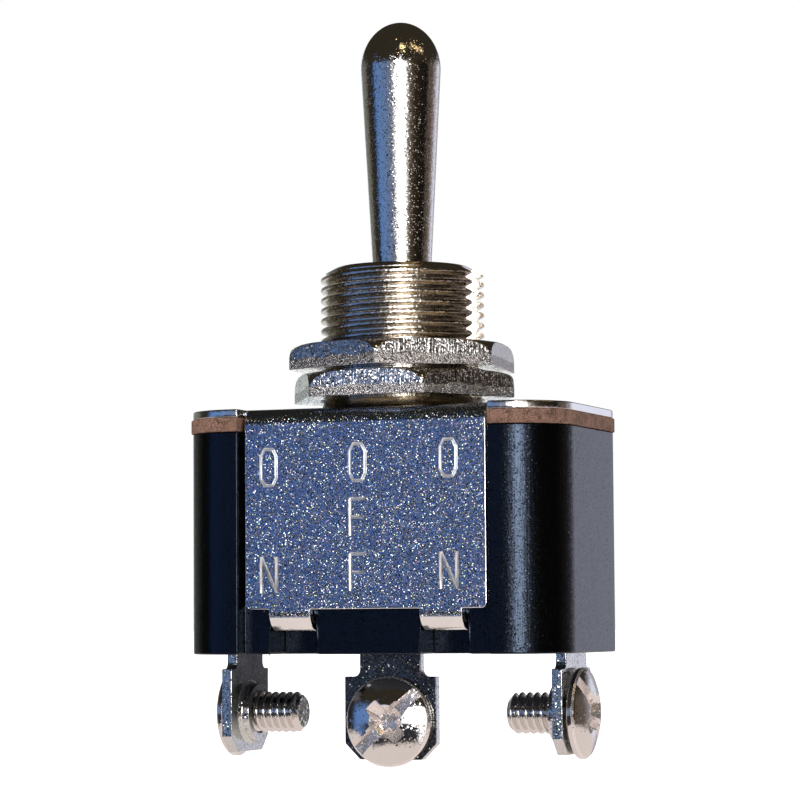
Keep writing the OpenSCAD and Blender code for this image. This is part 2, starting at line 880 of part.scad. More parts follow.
module terminal_screw(side, slot_deg, lift) {
    dome_r = (pow(head_d / 2, 2) + pow(head_dome_h, 2)) / (2 * head_dome_h);
    color(bright_colour)
        at_screw(side)
            translate([0, 0, lift])
                difference() {
                    union() {
                        translate([0, 0, screw_chamfer - screw_l])
                            cylinder(r = screw_r, h = screw_l - screw_chamfer);
                        translate([0, 0, -screw_l])
                            cylinder(r1 = screw_r - screw_chamfer, r2 = screw_r, h = screw_chamfer);
                        cylinder(d = head_d, h = head_rim_h);
                        intersection() {
                            translate([0, 0, head_rim_h + head_dome_h - dome_r])
                                sphere(dome_r);
                            translate([0, 0, head_rim_h])
                                cylinder(d = head_d, h = head_dome_h + cut);
                        }
                    }
                    rotate(slot_deg) {
                        translate([-head_d, -slot_w / 2, head_rim_h - slot_depth])
                            cube([2 * head_d, slot_w, head_dome_h + cut]);
                        for (turn = [0, 90])
                            rotate(turn)
                                translate([-cross_l / 2, -slot_w / 2, head_rim_h - cross_depth])
                                    cube([cross_l, slot_w, cross_depth + head_dome_h + cut]);
                    }
                }
}

// A nut standing on Z = 0, with the rolled edge of a stamped blank on top
module nut() {
    corner_r = nut_af / 2 / cos(30);
    blank_r = corner_r - nut_corner_cut;
    bore = engaged_r + fit;
    chamfer = nut_countersink;
    color(bright_colour)
        difference() {
            intersection() {
                cylinder(r = corner_r, h = nut_t, $fn = 6);
                rotate_extrude()
                    union() {
                        square([blank_r - nut_roll, nut_t]);
                        square([blank_r, nut_t - nut_roll]);
                        translate([blank_r - nut_roll, nut_t - nut_roll])
                            circle(nut_roll);
                    }
            }
            translate([0, 0, -cut])
                cylinder(r = bore, h = nut_t + 2 * cut);
            translate([0, 0, nut_t - chamfer])
                cylinder(r1 = bore, r2 = bore + chamfer, h = chamfer);
            cylinder(r1 = bore + chamfer, r2 = bore, h = chamfer);
        }
}

module upper_nut() {
    translate([0, 0, -nut_t])
        rotate(upper_nut_deg)
            nut();
}

module lower_nut() {
    translate([0, 0, shoulder_z + fit])
        rotate(lower_nut_deg)
            nut();
}

case();
fibre_insulator();
steel_frame();
bushing();
lever();
pivot_pin();
plunger();
plunger_spring();
rocker();
rocker_contact(-1);  // rocker_contact_left
rocker_contact(1);  // rocker_contact_right
fixed_contact(-1);  // fixed_contact_left
fixed_contact(1);  // fixed_contact_right
end_terminal(-1);  // terminal_left
centre_terminal();  // terminal_centre
end_terminal(1);  // terminal_right
terminal_screw(-1, left_slot_deg, 0);  // screw_left
terminal_screw(0, centre_slot_deg, 0);  // screw_centre
terminal_screw(1, right_slot_deg, right_screw_gap);  // screw_right
upper_nut();
lower_nut();
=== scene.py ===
"""Dresses the panel toggle switch: its finishes, true threads, stamped lettering and studio."""

import logging
from collections.abc import Callable, Iterator, Sequence
from contextlib import contextmanager
from dataclasses import dataclass
from enum import Enum
from functools import reduce
from math import atan2, cos, degrees, hypot, pi, radians, sin, sqrt

import bmesh
import bpy
from bpy.types import Material, MeshPolygon, Node, NodeSocket, NodeTree, Object, World
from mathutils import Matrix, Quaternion, Vector


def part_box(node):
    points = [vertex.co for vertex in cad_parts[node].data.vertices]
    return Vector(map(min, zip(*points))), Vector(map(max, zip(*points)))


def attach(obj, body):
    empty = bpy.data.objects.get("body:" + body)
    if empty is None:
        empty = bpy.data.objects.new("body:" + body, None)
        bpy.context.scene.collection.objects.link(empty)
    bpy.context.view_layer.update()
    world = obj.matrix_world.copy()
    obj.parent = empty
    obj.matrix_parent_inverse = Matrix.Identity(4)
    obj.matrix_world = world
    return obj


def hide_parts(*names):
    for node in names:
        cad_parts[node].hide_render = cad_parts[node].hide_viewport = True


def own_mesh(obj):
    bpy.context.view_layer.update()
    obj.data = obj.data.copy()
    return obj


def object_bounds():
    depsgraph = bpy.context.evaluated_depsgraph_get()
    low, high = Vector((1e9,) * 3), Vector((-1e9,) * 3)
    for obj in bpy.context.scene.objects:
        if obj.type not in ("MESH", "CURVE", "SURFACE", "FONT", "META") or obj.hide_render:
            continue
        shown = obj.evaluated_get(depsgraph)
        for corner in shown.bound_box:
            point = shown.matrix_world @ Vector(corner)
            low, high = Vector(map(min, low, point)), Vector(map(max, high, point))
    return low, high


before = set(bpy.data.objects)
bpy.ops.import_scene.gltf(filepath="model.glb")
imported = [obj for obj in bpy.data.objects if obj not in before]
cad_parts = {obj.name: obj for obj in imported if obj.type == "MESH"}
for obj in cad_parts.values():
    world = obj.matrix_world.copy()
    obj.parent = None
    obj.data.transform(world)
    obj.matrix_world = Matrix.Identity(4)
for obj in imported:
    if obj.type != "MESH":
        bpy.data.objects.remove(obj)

LOG = logging.getLogger("switch")
MM = 0.001
NEAR = 0.001 * MM
CAD_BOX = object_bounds()
PIVOT_Z = 0.7 * MM

Point = tuple[float, float, float]
Flat = tuple[float, float]
Colour = tuple[float, float, float]


class Cut(Enum):
    """What a boolean does with its second solid."""

    OFF = "DIFFERENCE"
    KEEP = "INTERSECT"
    JOIN = "UNION"


class Pick(Enum):
    """What a selection in edit mode is made of."""

    EDGE = "EDGE"
    FACE = "FACE"


class Side(Enum):
    """The three terminals, from left to right, as the sign of X."""

    LEFT = -1
    CENTRE = 0
    RIGHT = 1


# ---------------------------------------------------------------- mesh tools


def deselect() -> None:
    """Goes back to object mode with nothing selected."""
    if bpy.context.object is not None and bpy.context.object.mode != "OBJECT":
        bpy.ops.object.mode_set(mode="OBJECT")
    bpy.ops.object.select_all(action="DESELECT")


def take(piece: Object) -> None:
    """Makes a piece the only selected and the active one.

    Args:
        piece: The piece to work on.
    """
    deselect()
    piece.select_set(True)
    bpy.context.view_layer.objects.active = piece


def add_object(name: str, data: bpy.types.ID) -> Object:
    """Makes an object and puts it in the scene.

    Args:
        name: The new object's name.
        data: Its mesh, curve, lamp or camera.

    Returns:
        The object.
    """
    piece = bpy.data.objects.new(name, data)
    bpy.context.scene.collection.objects.link(piece)
    return piece


def box_of(node: str) -> tuple[Vector, Vector]:
    """Reads a CAD node's lowest and highest corner at rest, in metres."""
    low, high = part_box(node)
    return Vector(low), Vector(high)


def modify(piece: Object, kind: str, **settings: object) -> None:
    """Adds a modifier, sets it and applies it.

    Args:
        piece: The piece to change.
        kind: Blender's name for the modifier.
        **settings: The modifier's own settings.
    """
    take(piece)
    bpy.ops.object.modifier_add(type=kind)
    modifier = piece.modifiers[-1]
    for name, value in settings.items():
        setattr(modifier, name, value)
    bpy.ops.object.modifier_apply(modifier=modifier.name)


@contextmanager
def editing(piece: Object) -> Iterator[None]:
    """Opens a piece in edit mode with all of it selected, and closes it again.

    Args:
        piece: The piece to edit.
    """
    take(piece)
    bpy.ops.object.mode_set(mode="EDIT")
    bpy.ops.mesh.select_mode(type="VERT")
    bpy.ops.mesh.select_all(action="SELECT")
    yield
    bpy.ops.object.mode_set(mode="OBJECT")


def tidy(piece: Object, gap: float) -> None:
    """Merges doubled points and turns the faces outwards.

    Args:
        piece: The piece to mend.
        gap: The merging distance, in millimetres.
    """
    with editing(piece):
        bpy.ops.mesh.remove_doubles(threshold=gap * MM)
        bpy.ops.mesh.normals_make_consistent(inside=False)


def settle(piece: Object) -> None:
    """Applies a piece's place, turn and scale, so that its object sits at the origin."""
    take(piece)
    bpy.ops.object.transform_apply(location=True, rotation=True, scale=True)


def smooth(piece: Object, angle: float, flat: bool = True) -> None:
    """Shades a piece smooth.

    Args:
        piece: The piece to shade.
        angle: The sharpest angle that is smoothed, in degrees.
        flat: Whether the large faces keep an even normal.
    """
    take(piece)
    bpy.ops.object.shade_smooth_by_angle(angle=radians(angle))
    if flat:
        modify(piece, "WEIGHTED_NORMAL", mode="FACE_AREA", weight=100, keep_sharp=True)


def break_edges(piece: Object, width: float, segments: int = 2, angle: float = 40) -> None:
    """Bevels a piece's sharp edges and shades it smooth.

    Args:
        piece: The piece to finish.
        width: The width of the bevel, in millimetres.
        segments: The facets across each edge.
        angle: The smallest angle that counts as an edge, in degrees.
    """
    modify(piece, "BEVEL", width=width * MM, segments=segments, limit_method="ANGLE",
           angle_limit=radians(angle), use_clamp_overlap=False, harden_normals=False)
    smooth(piece, 35)


def pick(piece: Object, kind: Pick, test: Callable[..., bool]) -> None:
    """Selects, in edit mode, only what passes a test.

    Args:
        piece: The piece.
        kind: What is selected.
        test: The test, of an edge's two ends or of a face's middle.
    """
    bpy.ops.mesh.select_all(action="DESELECT")
    mesh = bmesh.from_edit_mesh(piece.data)
    bpy.ops.mesh.select_mode(type=kind.value)
    if kind is Pick.EDGE:
        for edge in mesh.edges:
            edge.select_set(test(edge.verts[0].co, edge.verts[1].co))
    else:
        for face in mesh.faces:
            face.select_set(test(face.calc_center_median()))
    mesh.select_flush_mode()
    bmesh.update_edit_mesh(piece.data)


def extrude(*way: float) -> None:
    """Draws the selection out along X, Y and Z."""
    bpy.ops.mesh.extrude_region_move(TRANSFORM_OT_translate={"value": way})


def boolean(piece: Object, tool: Object, how: Cut, itself: bool = False) -> None:
    """Cuts, keeps or joins a piece with a tool, which is used up.

    Args:
        piece: The piece to change.
        tool: The second solid.
        how: What to do with it.
        itself: Whether the tool's own parts cross each other.
    """
    modify(piece, "BOOLEAN", object=tool, operation=how.value, solver="EXACT", use_self=itself)
    bpy.data.objects.remove(tool)


def join(parts: Sequence[Object]) -> Object:
    """Joins objects into one.

    Args:
        parts: The objects; the first takes in the others.

    Returns:
        The joined object.
    """
    deselect()
    for part in parts:
        part.select_set(True)
    bpy.context.view_layer.objects.active = parts[0]
    bpy.ops.object.join()
    return bpy.context.object


def block(name: str, low: Sequence[float], high: Sequence[float]) -> Object:
    """Adds a cube primitive between two corners.

    Args:
        name: The new object's name.
        low: The lowest corner, in metres.
        high: The highest corner, in metres.

    Returns:
        The block, settled at the origin.
    """
    deselect()
    middle = [(a + b) / 2 for a, b in zip(low, high)]
    span = [b - a for a, b in zip(low, high)]
    bpy.ops.mesh.primitive_cube_add(size=1, location=middle, scale=span)
    piece = bpy.context.object
    piece.name = name
    settle(piece)
    return piece


def outline(name: str, points: Sequence[Flat], closed: bool) -> Object:
    """Draws a half section in X and Z by extruding one point along it.

    Args:
        name: The new object's name.
        points: Radius and height of each corner, in metres.
        closed: Whether the last point runs back to the first.

    Returns:
        The section, as a chain of edges.
    """
    deselect()
    bpy.ops.mesh.primitive_plane_add(size=MM, location=(0, 0, 0))
    piece = bpy.context.object
    piece.name = name
    with editing(piece):
        bpy.ops.mesh.merge(type="CENTER")
        bpy.ops.transform.translate(value=(points[0][0], 0, points[0][1]))
        for (r0, z0), (r1, z1) in zip(points, points[1:]):
            extrude(r1 - r0, 0, z1 - z0)
        if closed:
            bpy.ops.mesh.select_all(action="SELECT")
            bpy.ops.mesh.edge_face_add()
            bpy.ops.mesh.delete(type="ONLY_FACE")
    return piece


def wind(piece: Object, steps: int, **settings: object) -> None:
    """Turns a section about Z with the Screw modifier.

    Args:
        piece: The section.
        steps: The facets in a full turn.
        **settings: The modifier's other settings.
    """
    modify(piece, "SCREW", axis="Z", angle=2 * pi, steps=steps, render_steps=steps,
           use_merge_vertices=True, merge_threshold=1e-7, use_smooth_shade=False, **settings)


def turned(name: str, points: Sequence[Flat], steps: int = 128) -> Object:
    """Turns a half section about Z, as on a lathe.

    Args:
        name: The new object's name.
        points: Radius and height of each corner, in metres, from axis to axis or round a ring.
        steps: The facets in a full turn.

    Returns:
        The closed solid.
    """
    on_axis = points[0][0] == 0 and points[-1][0] == 0
    piece = outline(name, points, closed=not on_axis)
    wind(piece, steps, screw_offset=0)
    tidy(piece, 0.0005)
    return piece


def arc(centre: Flat, radius: Flat, start: float, end: float, count: int) -> list[Flat]:
    """Lists points along an arc of a half section, both ends included.

    Args:
        centre: The centre's radius and height.
        radius: The radii along the section's two axes.
        start: The first angle from the outward direction, in degrees.
        end: The last angle, in degrees.
        count: How many spans the arc has.

    Returns:
        The points.
    """
    turns = [radians(start + (end - start) * i / count) for i in range(count + 1)]
    return [(centre[0] + radius[0] * cos(a), centre[1] + radius[1] * sin(a)) for a in turns]


def clean_copy(node: str, name: str) -> Object:
    """Copies a CAD node, merges its points and joins its flat triangles.

    Args:
        node: The node to copy.
        name: The new piece's name.

    Returns:
        The copy, on the origin.
    """
    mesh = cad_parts[node].data.copy()
    mesh.materials.clear()
    mesh.name = name
    piece = add_object(name, mesh)
    with editing(piece):
        bpy.ops.mesh.remove_doubles(threshold=0.0008 * MM)
        bpy.ops.mesh.dissolve_limited(angle_limit=radians(0.4))
    return piece


# ---------------------------------------------------------------- finishes


@dataclass
class Graph:
    """A node tree with short ways to add and join nodes.

    Attributes:
        tree: The material's, group's or world's tree.
    """

    tree: NodeTree

    def add(self, kind: str, **settings: object) -> Node:
        """Adds a node and sets its properties, or its inputs where a name is one.

        Args:
            kind: The node's type, without Blender's prefix.
            **settings: Properties, and inputs with their spaces written as underscores.

        Returns:
            The new node.
        """
        node = self.tree.nodes.new(kind if kind.startswith("Node") else f"ShaderNode{kind}")
        for name, value in settings.items():
            if hasattr(node, name):
                setattr(node, name, value)
            else:
                self.feed(value, node.inputs[name.replace("_", " ")])
        return node

    def feed(self, value: object, socket: NodeSocket) -> None:
        """Links a socket to an input, or writes a plain value on it.

        Args:
            value: An output socket, a number or a colour.
            socket: The input to fill.
        """
        if isinstance(value, NodeSocket):
            self.tree.links.new(value, socket)
        elif isinstance(value, tuple) and len(value) == 3 and socket.type == "RGBA":
            socket.default_value = (*value, 1)
        else:
            socket.default_value = value

    def fill(self, node: Node, *values: object) -> NodeSocket:
        """Feeds values to a node's inputs in their order.

        Args:
            node: The node.
            *values: The values.

        Returns:
            The node's first output.
        """
        for value, socket in zip(values, node.inputs):
            self.feed(value, socket)
        return node.outputs[0]

    def maths(self, operation: str, *values: object, clamp: bool = False) -> NodeSocket:
        """Adds a Math node, held between 0 and 1 if it is clamped, and returns its result."""
        return self.fill(self.add("Math", operation=operation, use_clamp=clamp), *values)

    def times(self, *values: object) -> NodeSocket:
        """Returns the product of sockets and numbers."""
        return reduce(lambda a, b: self.maths("MULTIPLY", a, b), values)

    def plus(self, *values: object) -> NodeSocket:
        """Returns the sum of sockets and numbers."""
        return reduce(lambda a, b: self.maths("ADD", a, b), values)

    def below(self, value: object, limit: float) -> NodeSocket:
        """Returns a mask of where a value is under a limit."""
        return self.maths("LESS_THAN", value, limit)

    def vector(self, operation: str, *values: object) -> NodeSocket:
        """Adds a Vector Math node of sockets and triples, and returns its vector."""
        return self.fill(self.add("VectorMath", operation=operation), *values)

    def scale(self, vector: object, factor: object) -> NodeSocket:
        """Returns a vector times a number."""
        return self.fill(self.add("VectorMath", operation="SCALE", Scale=factor), vector)

    def split(self, vector: NodeSocket) -> list[NodeSocket]:
        """Returns a vector's X, Y and Z."""
        node = self.add("SeparateXYZ", Vector=vector)
        return list(node.outputs)

    def mix(self, amount: object, first: object, second: object) -> NodeSocket:
        """Mixes two colours.

        Args:
            amount: The share of the second.
            first: The first colour.
            second: The second colour.

        Returns:
            The mixed colour.
        """
        node = self.add("Mix", data_type="RGBA", blend_type="MIX")
        for value, index in ((amount, 0), (first, 6), (second, 7)):
            self.feed(value, node.inputs[index])
        return node.outputs[2]

    def choose(self, mask: NodeSocket, first: Node, second: Node) -> Node:
        """Mixes two shaders.

        Args:
            mask: Where the second is used.
            first: The first shader's node.
            second: The second shader's node.

        Returns:
            The node that mixes them.
        """
        node = self.add("MixShader")
        self.fill(node, mask, first.outputs[0], second.outputs[0])
        return node

    def ramp(self, value: object, *stops: tuple[float, object]) -> NodeSocket:
        """Adds a colour ramp.

        Args:
            value: Where on the ramp to read.
            *stops: Each stop's place and its colour or grey.

        Returns:
            The colour read.
        """
        node = self.add("ValToRGB")
        band = node.color_ramp.elements
        while len(band) > 1:
            band.remove(band[-1])
        for count, (place, colour) in enumerate(sorted(stops, key=lambda stop: stop[0])):
            element = band.new(place) if count else band[0]
            element.position = place
            element.color = (*colour, 1) if isinstance(colour, tuple) else (colour, colour, colour, 1)
        return self.fill(node, value)

    def rise(self, value: object, span: Flat) -> NodeSocket:
        """Returns a mask that rises from 0 to 1 over a span of values."""
        return self.ramp(value, (span[0], 0.0), (span[1], 1.0))

    def place(self) -> NodeSocket:
        """Returns the place on the piece."""
        return self.add("TexCoord").outputs["Object"]

    def per_metre(self, size: object) -> object:
        """Turns a feature's size in millimetres, a socket or a number, into a texture's scale."""
        return self.maths("DIVIDE", 1 / MM, size) if isinstance(size, NodeSocket) else 1 / (size * MM)

    def noise(self, size: object, vector: NodeSocket | None = None, detail: float = 2,
              rough: float = 0.5) -> NodeSocket:
        """Adds a noise whose features have a size in millimetres.

        Args:
            size: The size of a feature, in millimetres.
            vector: Where to read it; the place on the piece if none is given.
            detail: Its octaves.
            rough: How strong the finer octaves are.

        Returns:
            The noise's value.
        """
        return self.add("TexNoise", Scale=self.per_metre(size), Detail=detail, Roughness=rough,
                        Vector=self.place() if vector is None else vector).outputs[0]

    def cells(self, scale: object) -> Node:
        """Adds cells of a scale, in cells per metre, and returns their node."""
        return self.add("TexVoronoi", Scale=scale, Vector=self.place())

    def group(self, tree: NodeTree, **values: float) -> Node:
        """Places a shared group with its inputs set, and returns its node."""
        return self.add("Group", node_tree=tree, **values)


def fresh_graph(owner: Material | World) -> Graph:
    """Empties a material's or a world's tree.

    Args:
        owner: The material or the world.

    Returns:
        The tree.
    """
    owner.use_nodes = True
    owner.node_tree.nodes.clear()
    return Graph(owner.node_tree)


def make_group(name: str, inputs: dict[str, float], outputs: dict[str, str],
               build: Callable[[Graph, dict[str, NodeSocket]], list[NodeSocket]]) -> NodeTree:
    """Builds a shader node group with named sockets.

    Args:
        name: The group's name.
        inputs: Each number that goes in, with its default.
        outputs: Each output's name and its socket's type.
        build: Makes the nodes, and returns what feeds each output.

    Returns:
        The group's tree.
    """
    tree = bpy.data.node_groups.new(name, "ShaderNodeTree")
    for label, value in inputs.items():
        socket = tree.interface.new_socket(label, in_out="INPUT", socket_type="NodeSocketFloat")
        socket.default_value = value
    for label, kind in outputs.items():
        tree.interface.new_socket(label, in_out="OUTPUT", socket_type=f"NodeSocket{kind}")
    graph = Graph(tree)
    entry = graph.add("NodeGroupInput")
    leave = graph.add("NodeGroupOutput")
    for value, label in zip(build(graph, {label: entry.outputs[label] for label in inputs}), outputs):
        graph.feed(value, leave.inputs[label])
    return tree


def _speckle(graph: Graph, entry: dict[str, NodeSocket]) -> list[NodeSocket]:
    """Makes the peened surface under bright plating.

    Args:
        graph: The group's tree.
        entry: Size and Depth, in millimetres.

    Returns:
        The height, in metres.
    """
    coarse = graph.noise(entry["Size"], detail=3.0, rough=0.6)
    cells = graph.cells(graph.times(graph.per_metre(entry["Size"]), 0.55))
    pit = graph.maths("SUBTRACT", 1.0, graph.times(cells.outputs["Distance"], 1.6), clamp=True)
    return [graph.times(graph.plus(coarse, graph.times(pit, -0.5)), graph.times(entry["Depth"], MM))]


def _streaks(graph: Graph, entry: dict[str, NodeSocket]) -> list[NodeSocket]:
    """Makes upright drag marks round a piece.

    Args:
        graph: The group's tree.
        entry: Width and Length, in millimetres.

    Returns:
        The marks' strength.
    """
    wide, long = graph.per_metre(entry["Width"]), graph.per_metre(entry["Length"])
    spot = graph.fill(graph.add("CombineXYZ"), *[graph.times(place, rate) for place, rate in
                                                 zip(graph.split(graph.place()), (wide, wide, long))])
    return [graph.noise(1 / MM, spot, detail=4.0, rough=0.65)]


def _grime(graph: Graph, entry: dict[str, NodeSocket]) -> list[NodeSocket]:
    """Makes the faint uneven bloom that handling leaves.

    Args:
        graph: The group's tree.
        entry: Size, in millimetres, and Amount.

    Returns:
        A mask of the dulled places.
    """
    cloud = graph.noise(entry["Size"], detail=5.0, rough=0.6)
    mask = graph.maths("MULTIPLY", graph.maths("SUBTRACT", cloud, 0.45), 3.0, clamp=True)
    return [graph.times(mask, entry["Amount"])]


def _spangle(graph: Graph, entry: dict[str, NodeSocket]) -> list[NodeSocket]:
    """Breaks a plated surface into tiny facets, most of them nearly flat.

    Args:
        graph: The group's tree.
        entry: Size, in millimetres, Tilt, the steepest common facet's slope, Share, how many facets
            are sparks, and Lean, the sparks' slope.

    Returns:
        The tilted normal, each facet's own colour, and a mask of the sparks.
    """
    cells = graph.cells(graph.per_metre(entry["Size"]))
    signed = graph.vector("SUBTRACT", graph.scale(cells.outputs["Color"], 2.0), (1.0, 1.0, 1.0))
    cubed = graph.vector("MULTIPLY", graph.vector("MULTIPLY", signed, signed), signed)
    dice = graph.add("TexWhiteNoise", noise_dimensions="3D", Vector=cells.outputs["Position"])
    spark = graph.below(dice.outputs["Value"], entry["Share"])
    leap = graph.scale(graph.vector("NORMALIZE", signed), graph.times(spark, entry["Lean"]))
    lean = graph.vector("ADD", graph.scale(cubed, entry["Tilt"]), leap)
    surface = graph.add("NewGeometry").outputs["Normal"]
    normal = graph.vector("NORMALIZE", graph.vector("ADD", surface, lean))
    return [normal, dice.outputs["Color"], spark]


SPANGLE = make_group("plating_spangle", {"Size": 0.09, "Tilt": 0.5, "Share": 0.3, "Lean": 0.4},
                     {"Normal": "Vector", "Tint": "Color", "Spark": "Float"}, _spangle)
SPECKLE = make_group("peened_speckle", {"Size": 0.2, "Depth": 0.004}, {"Height": "Float"}, _speckle)
STREAKS = make_group("upright_drag_marks", {"Width": 0.1, "Length": 3}, {"Marks": "Float"}, _streaks)
GRIME = make_group("handling_bloom", {"Size": 2, "Amount": 0.2}, {"Mask": "Float"}, _grime)


@dataclass
class Coat(Graph):
    """A material's tree with its Principled shader.

    Attributes:
        shader: The shader.
    """

    shader: Node

    def set(self, **values: object) -> None:
        """Feeds the shader's inputs, named with underscores for spaces."""
        for name, value in values.items():
            self.feed(value, self.shader.inputs[name.replace("_", " ")])

    def relief(self, height: NodeSocket, normal: NodeSocket | None = None) -> None:
        """Feeds a height to the shader's normal.

        Args:
            height: The height, in metres.
            normal: The normal under it, if that isn't the surface's own.
        """
        bump = self.add("Bump", Strength=1.0, Distance=1.0, Height=height)
        if normal is not None:
            self.feed(normal, bump.inputs["Normal"])
        self.set(Normal=bump.outputs[0])


@dataclass(frozen=True)
class Finish:
    """What every finish has.

    Attributes:
        name: The material's name.
        slot: A slot name; not used.
        colour: The base colour.
    """

    name: str
    slot: str
    colour: Colour

    def build(self) -> Material:
        """Makes the material and paints it.

        Returns:
            The material.
        """
        material = bpy.data.materials.new(self.name)
        graph = fresh_graph(material)
        shader = graph.add("BsdfPrincipled", Base_Color=self.colour)
        graph.add("OutputMaterial", Surface=shader.outputs[0])
        self.paint(Coat(graph.tree, shader))
        return material

    def paint(self, coat: Coat) -> None:
        """Leaves the base colour as it is; each kind of finish has its own way."""

    def tone(self, factor: float) -> Colour:
        """Returns the base colour, darker or paler."""
        return tuple(min(1.0, part * factor) for part in self.colour)


@dataclass(frozen=True)
class BrightPlate(Finish):
    """Bright nickel over turned or peened metal.

    Attributes:
        roughness: The clean plating's roughness.
        grain: The size of its bumps, in millimetres.
        depth: Their depth, in millimetres.
        metal: How metallic it is.
        share: The share of its facets that lean.
        lean: Their slope.
        facet: A facet's size, in millimetres.
    """

    roughness: float
    grain: float
    depth: float
    metal: float = 1.0
    share: float = 0.0
    lean: float = 0.0
    facet: float = 0.1

    def paint(self, coat: Coat) -> None:
        """Paints the plating, dulled in patches.

        Args:
            coat: The material's tree.
        """
        bloom = coat.group(GRIME, Size=2.5, Amount=0.15).outputs[0]
        fine = coat.noise(0.05, detail=1)
        coat.set(Metallic=self.metal, Base_Color=coat.mix(bloom, self.colour, self.tone(0.72)),
                 Roughness=coat.plus(self.roughness, coat.times(bloom, 0.35), coat.times(fine, 0.06)))
        normal = None
        if self.share:
            normal = coat.group(SPANGLE, Size=self.facet, Tilt=0.02, Share=self.share,
                                Lean=self.lean).outputs["Normal"]
        coat.relief(coat.group(SPECKLE, Size=self.grain, Depth=self.depth).outputs[0], normal)


@dataclass(frozen=True)
class SatinSheet(Finish):
    """Thin plating over rolled sheet: a dark even sheen full of tiny coloured sparks.

    Attributes:
        roughness: The clean plating's roughness.
        grain: A facet's size, in millimetres.
        tilt: The common facets' steepest slope.
        share: The share of the facets that are sparks.
        lean: The sparks' slope.
        glint: The sparks' brightness.
        painted_shade: How strong the painted shade on the lugs' faces beside the case is, up to 1.
        fade: Where the left lug's painted shade ends, as two heights in millimetres below the seat.
    """

    roughness: float = 0.13
    grain: float = 0.05
    tilt: float = 0.12
    share: float = 0.46
    lean: float = 0.36
    glint: float = 0.42
    painted_shade: float = 0.0
    fade: Flat = (26.8, 28.2)

    def paint(self, coat: Coat) -> None:
        """Paints the sheen, the sparks and the painted shade on the lugs.

        Args:
            coat: The material's tree.
        """
        spangle = coat.group(SPANGLE, Size=self.grain, Tilt=self.tilt, Share=self.share, Lean=self.lean)
        bloom = coat.group(GRIME, Size=4.0, Amount=0.3).outputs[0]
        glow = tuple(part * self.glint for part in (1.0, 0.93, 0.9))
        light = coat.mix(0.35, glow, coat.scale(spangle.outputs["Tint"], self.glint))
        tone = coat.mix(spangle.outputs["Spark"], coat.mix(bloom, self.colour, self.tone(0.62)), light)
        coat.set(Metallic=1.0, Specular_IOR_Level=0.05,
                 Roughness=coat.plus(self.roughness, coat.times(bloom, 0.12)))
        # Painted shade: the left lug's inner face, fading lower down, and the middle lug's front are
        # painted near black and less metallic, in place of the shade beside the case
        if self.painted_shade:
            right, front = self.facing(coat)
            cloud = coat.ramp(coat.noise(1.6, detail=4), (0.2, 1.0), (0.8, 0.86))
            shade_cover = coat.times(cloud, right, self.painted_shade)
            coat.set(Metallic=coat.maths("SUBTRACT", 1.0, shade_cover))
            tone = coat.mix(shade_cover, tone, (0.007, 0.006, 0.005))
            tone = coat.mix(coat.times(cloud, front, self.painted_shade), tone, (0.085, 0.078, 0.068))
        coat.set(Base_Color=tone)
        coat.relief(coat.group(SPECKLE, Size=0.5, Depth=0.004).outputs[0], spangle.outputs["Normal"])

    def facing(self, graph: Graph) -> tuple[NodeSocket, NodeSocket]:
        """Masks the faces that get painted shade.

        Args:
            graph: The material's tree.

        Returns:
            A mask of the left lug's inner face, and one of the middle lug's front.
        """
        square, deep, centre_reach = 0.9, 40.0, 6 * MM
        across, along, _ = graph.split(graph.add("NewGeometry").outputs["True Normal"])
        x, _, z = graph.split(graph.place())
        right = graph.maths("GREATER_THAN", across, square)
        left = graph.below(x, box_of("terminal_left")[1].x - 0.75 * MM)
        upper = graph.ramp(graph.maths("DIVIDE", z, -deep * MM),
                           (self.fade[0] / deep, 1.0), (self.fade[1] / deep, 0.12))
        middle = graph.below(graph.maths("ABSOLUTE", x), centre_reach)
        return graph.times(right, left, upper), graph.times(graph.below(along, -square), middle)


@dataclass(frozen=True)
class ShearedPlate(Finish):
    """Bright plating over a sheared blank: burnished streaks above, torn metal below.

    Attributes:
        low: The blank's underside, in metres.
        high: The blank's top, in metres.
        torn: The share of the height that is torn.
        streak: The depth of the burnished streaks, in metres.
        crumble: The depth of the torn band, in metres.
    """

    low: float = 0.0
    high: float = 1.0
    torn: float = 0.4
    streak: float = 0.05 * MM
    crumble: float = 0.1 * MM

    def paint(self, coat: Coat) -> None:
        """Paints the two bands and the rest of the blank.

        Args:
            coat: The material's tree.
        """
        z = coat.split(coat.place())[2]
        upright = coat.split(coat.add("NewGeometry").outputs["True Normal"])[2]
        side = coat.below(coat.maths("ABSOLUTE", upright), 0.3)
        level = coat.plus(z, coat.times(coat.maths("SUBTRACT", coat.noise(1.1), 0.5), 0.7 * MM))
        torn = coat.times(coat.below(level, self.low + (self.high - self.low) * self.torn), side)
        streaks = coat.times(coat.group(STREAKS, Width=0.2, Length=5.0).outputs[0], self.streak,
                             coat.maths("SUBTRACT", side, torn))
        broken = coat.times(coat.noise(0.16, detail=3, rough=0.7), self.crumble, torn)
        coat.set(Metallic=1.0, Roughness=coat.plus(0.07, coat.times(torn, 0.1)))
        spangle = coat.group(SPANGLE, Size=0.09, Tilt=0.3, Share=0.5, Lean=0.55)
        tilted = coat.add("Mix", data_type="VECTOR")
        surface = coat.add("NewGeometry").outputs["Normal"]
        amount = coat.plus(coat.times(torn, 0.65), 0.35)
        for value, index in ((amount, 0), (surface, 4), (spangle.outputs["Normal"], 5)):
            coat.feed(value, tilted.inputs[index])
        height = coat.plus(streaks, broken, coat.times(coat.noise(0.25), 0.004 * MM))
        coat.relief(height, tilted.outputs[1])


